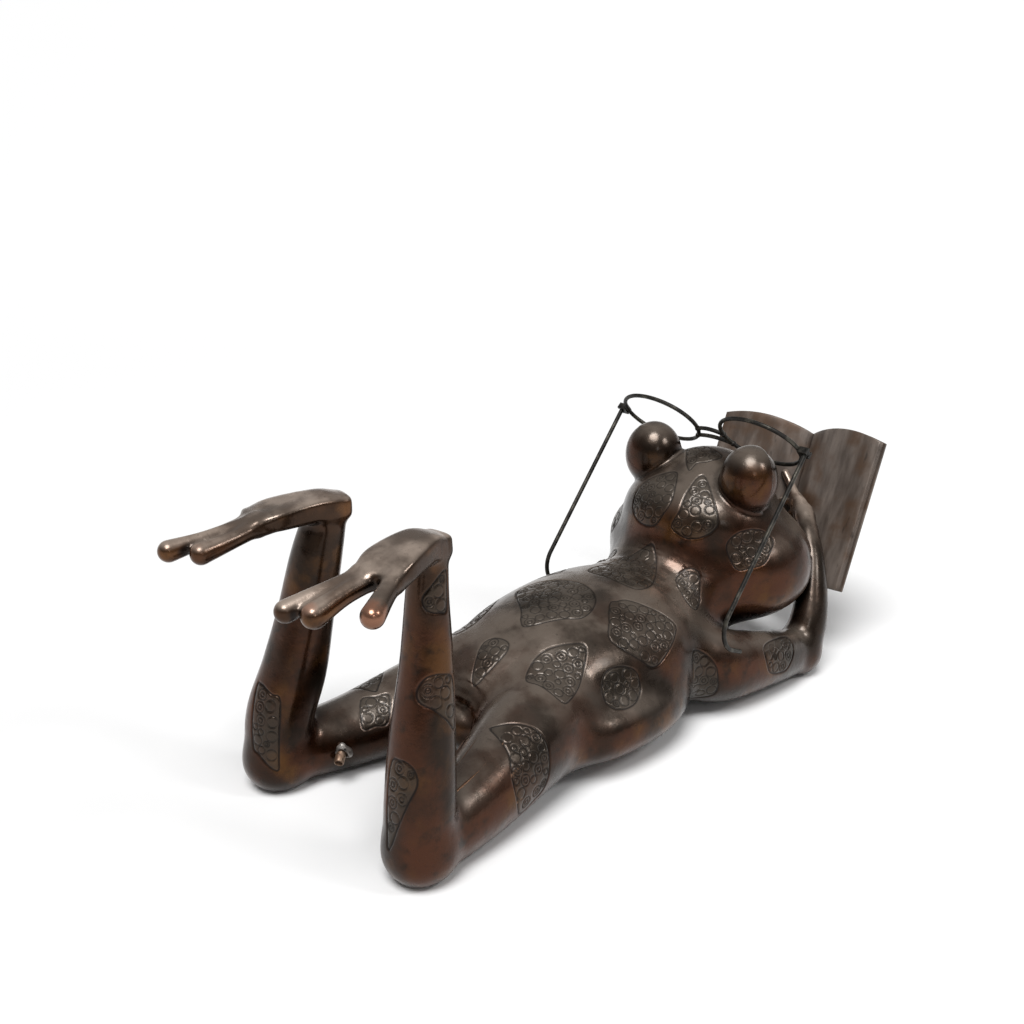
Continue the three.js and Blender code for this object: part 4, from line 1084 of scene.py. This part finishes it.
# Book: a bent cover plate with two swelling page blocks soldered to it, all cast flat in bronze.
# The leaves show as cut lines round the three open edges of each block, and the pages are left rough.
LEAVES = 6
LEAF_FILL = 0.96
LEAF_STEPS_UP = 24
LEAF_EDGE = [(0.0, 1.5), (0.2, 0.3), (0.5, 0.0), (0.8, 0.3), (1.0, 1.5)]
COVER_EASE, COVER_EASE_STEPS = 0.0011, 3
FLAT_ANGLE, SHARP_ANGLE = math.radians(2), math.radians(30)
MERGED_WITHIN = 1e-5
PAGE_DARK, PAGE_PALE = rgb(0.085, 0.064, 0.052), rgb(0.215, 0.175, 0.148)
PAGE_STAIN, PAGE_SPECK = rgb(0.105, 0.060, 0.036), rgb(0.026, 0.018, 0.014)
DRAWN_OUT = (1.0, 0.35, 0.22)
PAGE_STREAKS, PAGE_STAINS, PAGE_SPECKS = (0.014, 0.3, 0.7), (0.04, 0.45, 0.7), (0.005, 0.6, 0.74)
PAGE_SPECK_SHADE = 0.6
PAGE_GRAIN, PAGE_RELIEF = (160.0, 4.0), (0.16, 0.0005)
PAGE_METALLIC, PAGE_ROUGHNESS = 0.3, (0.38, 0.56)
PAGE_COAT, PAGE_COAT_ROUGHNESS = 0.15, 0.35


def on_book(across, height, up):
    """Points of the statue from places on the book: across, above the cover and up the page."""
    across, height, up = (np.asarray(value, float)[..., None] for value in (across, height, up))
    return BOOK_FOOT + across * BOOK_ACROSS + height * BOOK_FACING + up * BOOK_UPWARD


bronze_book, tree = new_finish("bronze_book")
place = object_place(tree)
drawn = add(tree, "ShaderNodeMapping", {"Vector": place, "Scale": DRAWN_OUT,
                                        "Rotation": (BOOK_LEAN, 0.0, 0.0)}).outputs[0]
streaks = mottle(tree, drawn, *PAGE_STREAKS)
colour = mixed(tree, streaks, PAGE_DARK, PAGE_PALE)
colour = mixed(tree, mottle(tree, place, *PAGE_STAINS), colour, PAGE_STAIN)
specks = product(tree, mottle(tree, drawn, *PAGE_SPECKS), PAGE_SPECK_SHADE)
colour = mixed(tree, specks, colour, PAGE_SPECK)
close_finish(tree, {
    "Base Color": colour, "Metallic": PAGE_METALLIC,
    "Roughness": ranged(tree, streaks, 0.0, 1.0, *PAGE_ROUGHNESS),
    "Normal": bumped(tree, *PAGE_RELIEF, noise(tree, drawn, *PAGE_GRAIN)),
    "Coat Weight": PAGE_COAT, "Coat Roughness": PAGE_COAT_ROUGHNESS})

leaf_sizes = {"Leaf Fill": LEAF_FILL}
tree, size = new_shape_tree("page_leaves", leaf_sizes)
stack = add(tree, "GeometryNodePoints", {"Count": LEAVES})
leaves = add(tree, "GeometryNodeInstanceOnPoints", {"Points": stack.outputs[0], "Instance": size["Geometry"]})
number = add(tree, "GeometryNodeInputIndex").outputs[0]
numbered = {"Geometry": leaves.outputs[0], "Name": "leaf", "Value": number}
counted = add(tree, "GeometryNodeStoreNamedAttribute", numbered, data_type="FLOAT", domain="INSTANCE")
loose = add(tree, "GeometryNodeRealizeInstances", {"Geometry": counted.outputs[0]})
under, over = (stored(tree, name, "FLOAT_VECTOR") for name in ("under", "over"))
filled = product(tree, stored(tree, "depth"), size["Leaf Fill"])
share = product(tree, worked(tree, "ADD", stored(tree, "leaf"), filled), 1 / LEAVES)
between = add(tree, "ShaderNodeMix", {0: share, 4: under, 5: over}, data_type="VECTOR").outputs[1]
laid = add(tree, "GeometryNodeSetPosition", {"Geometry": loose.outputs[0], "Position": between})
close_tree(tree, laid.outputs[0], bronze_book)


def leaf_template(side):
    """One leaf as thick as the whole block, with its lowest and highest place kept at every point."""
    across = page_top[:, 0]
    up = np.linspace(0, PAGE_HEIGHT, LEAF_STEPS_UP)
    columns, rows = len(across), len(up)
    rim = [(i, 0) for i in range(columns)] + [(columns - 1, j) for j in range(1, rows)]
    rim += [(i, rows - 1) for i in range(columns - 2, -1, -1)] + [(0, j) for j in range(rows - 2, 0, -1)]
    sheet = [(i, j) for j in range(rows) for i in range(columns)]
    places, layers = [], []
    for layer, (depth, inset) in enumerate(LEAF_EDGE):
        layers.append({})
        for i, j in (sheet if layer in (0, len(LEAF_EDGE) - 1) else rim):
            layers[layer][i, j] = len(places)
            high = min(max(up[j], inset), PAGE_HEIGHT - inset)
            places.append((min(across[i], PAGE_WIDTH - inset), high, depth))
    faces = []
    for layer in (layers[0], layers[-1]):
        faces += [[layer[i, j], layer[i + 1, j], layer[i + 1, j + 1], layer[i, j + 1]]
                  for i in range(columns - 1) for j in range(rows - 1)]
    for lower, upper in zip(layers, layers[1:]):
        faces += [[lower[a], lower[b], upper[b], upper[a]] for a, b in zip(rim, rim[1:] + rim[:1])]
    wide, high, depth = np.array(places).T
    share = wide / PAGE_WIDTH
    high = high * (1 + 4 * PAGE_ARCH / PAGE_HEIGHT * share * (1 - share))
    high = high + (RIGHT_PAGE_RISE * share if side < 0 else 0)
    under = in_metres(on_book(side * wide, on_cover(wide), high))
    over = in_metres(on_book(side * wide, np.interp(wide, page_top[:, 0], page_top[:, 1]), high))
    mesh = new_mesh("leaf", under + depth[:, None] * (over - under), faces)
    keep_values(mesh, "under", under, "FLOAT_VECTOR")
    keep_values(mesh, "over", over, "FLOAT_VECTOR")
    keep_values(mesh, "depth", depth)
    shape = bmesh.new()
    shape.from_mesh(mesh)
    bmesh.ops.recalc_face_normals(shape, faces=shape.faces)
    shape.to_mesh(mesh)
    shape.free()
    return mesh


for side, name in SIDE_NAMES.items():
    pages = shaped(f"book_{name}_leaves", leaf_template(side), tree, leaf_sizes)
    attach(pages, "frog")
    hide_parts(f"book_{name}_pages")


def dressed_copy(node, name, material, bevel, segments):
    """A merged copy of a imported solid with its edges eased."""
    shape = bmesh.new()
    shape.from_mesh(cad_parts[node].data)
    bmesh.ops.remove_doubles(shape, verts=shape.verts, dist=MERGED_WITHIN)
    bmesh.ops.dissolve_limit(shape, angle_limit=FLAT_ANGLE, verts=shape.verts, edges=shape.edges)
    sharp = [edge for edge in shape.edges if edge.calc_face_angle(0) > SHARP_ANGLE]
    bmesh.ops.bevel(shape, geom=sharp, offset=bevel, segments=segments, affect="EDGES", profile=0.5,
                    clamp_overlap=True)
    mesh = bpy.data.meshes.new(name)
    shape.to_mesh(mesh)
    shape.free()
    mesh.materials.append(material)
    return new_piece(name, mesh)


cover = dressed_copy("book_cover", "book_cover_plate", bronze_book, COVER_EASE, COVER_EASE_STEPS)
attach(cover, "frog")
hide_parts("book_cover")

# Spectacles: two oval rims and a double bridge of drawn wire, brazed together and waxed nearly black.
# They sit on the eye bulges by their own weight, and their temples fold on a small pinned hinge.
LENS_MIDDLE = np.array([0.0, -508.6, 262.5])
LENS_TILT = math.radians(48)
LENS_UP = np.array([0.0, math.cos(LENS_TILT), math.sin(LENS_TILT)])
LENS_OUT = np.array([0.0, -math.sin(LENS_TILT), math.cos(LENS_TILT)])
RIM_HALF_WIDTH, RIM_HALF_HEIGHT = 48.0, 36.5
RIM_SPACING = 65.0
RIM_WIRE = 4.4
RIM_POINTS, BRIDGE_POINTS, HOOK_POINTS = 72, 19, 22
WIRE_SIDES, TURNED_SIDES = 16, 40
BRIDGE_DROPS = {"upper_bridge": 4.0, "lower_bridge": 18.0}
BRIDGE_RISE = 4.0
HINGE_ACROSS = 120.7
TEMPLE_WIRE = 4.6
TEMPLE_START = 3.0
TEMPLE_SLOPE = math.radians(9.4)
TEMPLE_LENGTH = 178.0
HOOK_RADIUS, HOOK_TURN, HOOK_TAIL = 26.0, math.radians(105), 14.0
EYE_RADIUS, EYE_HEIGHT, EYE_BORE, EYE_EASE = 3.4, 3.6, 1.25, 0.4
LUG_EASE, LUG_EASE_STEPS = 0.0006, 2
BEAD_RADIUS, BEAD_POINTS, BEAD_POLE = 3.0, 9, 1e-4
ROUNDED_BELOW = math.radians(40)
WIRE_BLACK = rgb(0.006, 0.006, 0.005)
RUBBED_PATCHES, WIRE_SPECKS = (0.011, 0.42, 0.7), (0.003, 0.55, 0.7)
WIRE_SCALE, WIRE_RELIEF = (700.0, 3.0), (0.12, 0.0002)
WIRE_METALLIC, WIRE_ROUGHNESS = 0.6, (0.5, 0.36)


def wire_finish(name, dark, sheen):
    """Dark waxed metal, paler where it is rubbed."""
    material, tree = new_finish(name)
    place = object_place(tree)
    rubbed = mottle(tree, place, *RUBBED_PATCHES)
    colour = mixed(tree, mottle(tree, place, *WIRE_SPECKS), mixed(tree, rubbed, dark, sheen), WIRE_BLACK)
    close_finish(tree, {
        "Base Color": colour, "Metallic": WIRE_METALLIC,
        "Roughness": ranged(tree, rubbed, 0.0, 1.0, *WIRE_ROUGHNESS),
        "Normal": bumped(tree, *WIRE_RELIEF, noise(tree, place, *WIRE_SCALE))})
    return material


dark_wire = wire_finish("dark_wire", rgb(0.016, 0.014, 0.012), rgb(0.075, 0.068, 0.054))
wire_tree, size = new_shape_tree("drawn_wire", ("Diameter",))
path = add(wire_tree, "GeometryNodeMeshToCurve", {"Mesh": size["Geometry"]})
radius = product(wire_tree, size["Diameter"], 0.5)
section = add(wire_tree, "GeometryNodeCurvePrimitiveCircle", {"Resolution": WIRE_SIDES, "Radius": radius})
drawn = add(wire_tree, "GeometryNodeCurveToMesh", {
    "Curve": path.outputs[0], "Profile Curve": section.outputs[0], "Fill Caps": True})
close_tree(wire_tree, drawn.outputs[0], dark_wire)


def on_lens(across, up, out):
    across, up, out = (np.asarray(value, float)[..., None] for value in (across, up, out))
    return LENS_MIDDLE + across * ACROSS + up * LENS_UP + out * LENS_OUT


def wire_piece(name, points, diameter, closed=False):
    count = len(points)
    mesh = bpy.data.meshes.new(name)
    links = [(i, (i + 1) % count) for i in range(count if closed else count - 1)]
    mesh.from_pydata(in_metres(points).tolist(), links, [])
    return shaped(name, mesh, wire_tree, {"Diameter": diameter * MM})


def turned(profile, base, axis):
    """Points and faces of a closed outline, radius and place along the axis, turned about that axis."""
    sides = TURNED_SIDES
    first = unit(np.cross(axis, ACROSS))
    second = np.cross(axis, first)
    angles = np.linspace(0, 2 * math.pi, sides, endpoint=False)
    points = [base + along * axis + radius * (math.cos(angle) * first + math.sin(angle) * second)
              for radius, along in profile for angle in angles]
    faces = []
    for ring in range(len(profile)):
        here, after = ring * sides, (ring + 1) % len(profile) * sides
        for step in range(sides):
            turn = (step + 1) % sides
            faces.append([here + step, here + turn, after + turn, after + step])
    return np.array(points), faces


def tidy_solid(mesh):
    """Merges doubled points, turns faces outwards and shades round faces smooth."""
    shape = bmesh.new()
    shape.from_mesh(mesh)
    bmesh.ops.remove_doubles(shape, verts=shape.verts, dist=TINY)
    bmesh.ops.recalc_face_normals(shape, faces=shape.faces)
    for face in shape.faces:
        face.smooth = True
    for edge in shape.edges:
        edge.smooth = edge.calc_face_angle(0) < ROUNDED_BELOW
    shape.to_mesh(mesh)
    shape.free()


def add_turned(piece, profile, base, axis):
    """Joins a turned solid to a piece."""
    points, faces = turned(profile, base, axis)
    extra = new_mesh("turned", in_metres(points), faces)
    tidy_solid(extra)
    shape = bmesh.new()
    shape.from_mesh(piece.data)
    shape.from_mesh(extra)
    shape.to_mesh(piece.data)
    shape.free()


bead = [(BEAD_RADIUS * math.sin(angle) + BEAD_POLE, -BEAD_RADIUS * math.cos(angle))
        for angle in np.linspace(0, math.pi, BEAD_POINTS)]
around = np.linspace(0, 2 * math.pi, RIM_POINTS, endpoint=False)
for side, name in SIDE_NAMES.items():
    across = side * RIM_SPACING + RIM_HALF_WIDTH * np.cos(around)
    oval = on_lens(across, RIM_HALF_HEIGHT * np.sin(around), 0 * around)
    rim = wire_piece(f"{name}_rim_wire", oval, RIM_WIRE, closed=True)
    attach(rim, "spectacles")
    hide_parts(f"{name}_rim")
for name, drop in BRIDGE_DROPS.items():
    reach = RIM_SPACING - RIM_HALF_WIDTH * math.sqrt(1 - (drop / RIM_HALF_HEIGHT)**2)
    share = np.linspace(-1, 1, BRIDGE_POINTS)
    line = on_lens(reach * share, BRIDGE_RISE * (1 - share**2) - drop, 0 * share)
    bridge = wire_piece(f"{name}_wire", line, RIM_WIRE)
    for end in (line[0], line[-1]):
        add_turned(bridge, bead, end, LENS_OUT)
    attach(bridge, "spectacles")
    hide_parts(name)
for side, name in SIDE_NAMES.items():
    hinge = on_lens(side * HINGE_ACROSS, 0, 0)
    back = -math.sin(TEMPLE_SLOPE) * LENS_UP - math.cos(TEMPLE_SLOPE) * LENS_OUT
    forward = -math.cos(TEMPLE_SLOPE) * LENS_UP + math.sin(TEMPLE_SLOPE) * LENS_OUT
    start = hinge - TEMPLE_START * LENS_OUT
    bend = start + TEMPLE_LENGTH * back
    turn = np.linspace(0, HOOK_TURN, HOOK_POINTS)[:, None]
    hook = bend + HOOK_RADIUS * (forward * (1 - np.cos(turn)) + back * np.sin(turn))
    tail = hook[-1] + HOOK_TAIL * (back * math.cos(HOOK_TURN) + forward * math.sin(HOOK_TURN))
    temple = wire_piece(f"{name}_temple_wire", np.vstack([start, hook, tail]), TEMPLE_WIRE)
    half = EYE_HEIGHT / 2
    eye = [(EYE_BORE, -half), (EYE_RADIUS - EYE_EASE, -half), (EYE_RADIUS, EYE_EASE - half)]
    eye += [(EYE_RADIUS, half - EYE_EASE), (EYE_RADIUS - EYE_EASE, half), (EYE_BORE, half)]
    add_turned(temple, eye, hinge, LENS_UP)
    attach(temple, f"{name}_temple")
    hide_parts(f"{name}_temple")
    block = dressed_copy(f"{name}_hinge_block", f"{name}_hinge_lug", dark_wire, LUG_EASE, LUG_EASE_STEPS)
    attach(block, "spectacles")
    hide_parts(f"{name}_hinge_block")
    paint_node(f"{name}_hinge_pin", dark_wire)

# Water line: a copper tube runs from a hose stub brazed into the left thigh up to a nozzle in the mouth.
# Only the stub with its silvery braze, and the tip of the nozzle between the lips, show outside.
STUB_AWAY = unit(np.array([-0.55, 0.7, -0.45]))
STUB_HALF_LENGTH = 22.0
STUB_RADIUS, STUB_BORE = 4.75, 3.55
STUB_RIM, STUB_MOUTH = [(0.0, 0.9), (0.3, 0.2), (0.6, 0.0)], [(0.3, 0.0), (0.0, 0.5)]
NOZZLE_AWAY = unit(np.array([0.0, -0.98, 0.2]))
NOZZLE_HALF_LENGTH = 17.0
NOZZLE_BACK_RADIUS, NOZZLE_TIP_RADIUS, NOZZLE_BORE = 7.5, 5.5, 3.55
NOZZLE_RIM, NOZZLE_MOUTH = [(0.0, 1.0), (0.6, 0.0)], [(0.5, 0.0), (0.0, 0.8)]
BRAZE_LUMPS = 9
BRAZE_SEED = 4
LUMP_SPREAD, LUMP_RADIUS, LUMP_ALONG = (4.6, 6.4), (2.2, 3.6), (-2, 1)
LUMP_FILLET, BRAZE_FILLET = 2, 0.5
BRAZE_CLEARANCE = 0.1
BRAZE_ROOM, BRAZE_NET = 14.0, 0.7
copper_line = wire_finish("copper_line", rgb(0.16, 0.095, 0.06), rgb(0.42, 0.30, 0.22))
braze = wire_finish("braze", rgb(0.10, 0.085, 0.075), rgb(0.46, 0.43, 0.40))


def solid_piece(name, points, faces, material):
    mesh = new_mesh(name, in_metres(points), faces)
    tidy_solid(mesh)
    mesh.materials.append(material)
    return new_piece(name, mesh)


def tube_outline(half, back_radius, front_radius, bore, rim, mouth):
    """Half section of a tube, eased round the rim and the mouth of its front end."""
    outline = [(bore, -half), (back_radius, -half)]
    outline += [(front_radius - inward, half - short) for inward, short in rim]
    return outline + [(bore + outward, half - short) for outward, short in mouth]


outline = tube_outline(STUB_HALF_LENGTH, STUB_RADIUS, STUB_RADIUS, STUB_BORE, STUB_RIM, STUB_MOUTH)
stub = solid_piece("inlet_stub_tube", *turned(outline, pin_centre("inlet_stub"), STUB_AWAY), copper_line)
outline = tube_outline(NOZZLE_HALF_LENGTH, NOZZLE_BACK_RADIUS, NOZZLE_TIP_RADIUS, NOZZLE_BORE,
                       NOZZLE_RIM, NOZZLE_MOUTH)
nozzle_form = turned(outline, pin_centre("spout_nozzle"), NOZZLE_AWAY)
nozzle = solid_piece("spout_nozzle_tip", *nozzle_form, copper_line)
collar_middle = pin_centre("inlet_collar")
draw = np.random.default_rng(BRAZE_SEED)
first = unit(np.cross(STUB_AWAY, UPWARD))
second = np.cross(STUB_AWAY, first)
lumps = []
for number in range(BRAZE_LUMPS):
    angle = 2 * math.pi * number / BRAZE_LUMPS
    spread, radius = draw.uniform(*LUMP_SPREAD), draw.uniform(*LUMP_RADIUS)
    middle = collar_middle + spread * (math.cos(angle) * first + math.sin(angle) * second)
    middle = middle + draw.uniform(*LUMP_ALONG) * STUB_AWAY
    lumps.append((Ball(middle, (radius, radius, radius)), LUMP_FILLET))


def braze_distance(points):
    apart = points - collar_middle
    along = apart @ STUB_AWAY
    off_axis = np.linalg.norm(apart - along[:, None] * STUB_AWAY, axis=1)
    return soft_cut(joined(points, lumps), STUB_RADIUS + BRAZE_CLEARANCE - off_axis, BRAZE_FILLET)


braze_box = (collar_middle - BRAZE_ROOM, collar_middle + BRAZE_ROOM)
collar = solid_piece("inlet_collar_braze", *net_over(braze_distance, *braze_box, BRAZE_NET), braze)
for piece, node in ((stub, "inlet_stub"), (nozzle, "spout_nozzle"), (collar, "inlet_collar")):
    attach(piece, "frog")
    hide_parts(node)
for node in ("tube_coupling", "supply_tube"):
    paint_node(node, copper_line)

# Floor, light and camera: a pale sweep under soft studio light, seen from behind the frog's right foot.
# Nothing here belongs to the statue.
SWEEP = [(0.0, 0.0), (1.0, 0.0), (1.8, 0.0), (2.4, 0.03), (3.2, 0.12), (14.0, 2.0)]
SWEEP_SIDES = 64
FLOOR_LIT, FLOOR_SEEN = rgb(0.4, 0.4, 0.4), rgb(0.95, 0.95, 0.95)
turns = np.linspace(0, 2 * math.pi, SWEEP_SIDES, endpoint=False)
floor_points = [(0.0, 0.0, 0.0)]
floor_faces = [[0, 1 + step, 1 + (step + 1) % SWEEP_SIDES] for step in range(SWEEP_SIDES)]
for ring, (reach, rise) in enumerate(SWEEP[1:]):
    floor_points += [(reach * math.cos(turn), reach * math.sin(turn), rise) for turn in turns]
    first = 1 + ring * SWEEP_SIDES
    if ring + 2 < len(SWEEP):
        for step in range(SWEEP_SIDES):
            here, there = first + step, first + (step + 1) % SWEEP_SIDES
            floor_faces.append([here, here + SWEEP_SIDES, there + SWEEP_SIDES, there])
floor_mesh = new_mesh("floor", np.array(floor_points), floor_faces)
floor_mesh.polygons.foreach_set("use_smooth", [True] * len(floor_faces))
floor = new_piece("floor", floor_mesh)
floor_finish, tree = new_finish("pale_floor")
rays = add(tree, "ShaderNodeLightPath").outputs
seen = worked(tree, "MAXIMUM", rays["Is Camera Ray"], rays["Is Glossy Ray"])
seen = worked(tree, "MAXIMUM", seen, rays["Is Transmission Ray"])
matte = add(tree, "ShaderNodeBsdfDiffuse", {"Color": mixed(tree, seen, FLOOR_LIT, FLOOR_SEEN)})
add(tree, "ShaderNodeOutputMaterial", {"Surface": matte.outputs[0]})
floor_mesh.materials.append(floor_finish)

WORLD_STRENGTH = 0.22
world = bpy.data.worlds.new("studio")
bpy.context.scene.world = world
world.use_nodes = True
tree = world.node_tree
tree.nodes.clear()
soft = add(tree, "ShaderNodeBackground", {"Color": rgb(1.0, 1.0, 1.0), "Strength": WORLD_STRENGTH})
add(tree, "ShaderNodeOutputWorld", {"Surface": soft.outputs[0]})

LAMPS = {
    "ceiling": ("SUN", (-0.5, 0.9, 2.2), 0.55, 2.75),
    "window": ("AREA", (-1.5, -0.5, 1.6), 0.45, 8.5),
    "front": ("AREA", (-1.5, 0.9, 1.1), 0.3, 1.5),
}
for name, (kind, place, size_of, strength) in LAMPS.items():
    lamp = bpy.data.lights.new(name, kind)
    if kind == "SUN":
        lamp.angle = size_of
    else:
        lamp.size = size_of
    lamp.energy = strength
    lamp_object = bpy.data.objects.new(name, lamp)
    lamp_object.location = place
    lamp_object.rotation_euler = (-Vector(place)).to_track_quat("-Z", "Y").to_euler()
    bpy.context.scene.collection.objects.link(lamp_object)

CAMERA_PLACE = (-0.8115, 0.8832, 0.640)
CAMERA_HEADING, CAMERA_DIP = math.radians(46), math.radians(19.4)
CAMERA_LENS, CAMERA_SENSOR = 46.2, 36.0
camera = bpy.data.cameras.new("camera")
camera.lens = CAMERA_LENS
camera.sensor_width = CAMERA_SENSOR
camera_object = bpy.data.objects.new("camera", camera)
camera_object.location = CAMERA_PLACE
level = math.cos(CAMERA_DIP)
sight = Vector((math.sin(CAMERA_HEADING) * level, -math.cos(CAMERA_HEADING) * level, -math.sin(CAMERA_DIP)))
camera_object.rotation_euler = sight.to_track_quat("-Z", "Y").to_euler()
bpy.context.scene.collection.objects.link(camera_object)
bpy.context.scene.camera = camera_object
bpy.context.scene.view_settings.view_transform = "Standard"
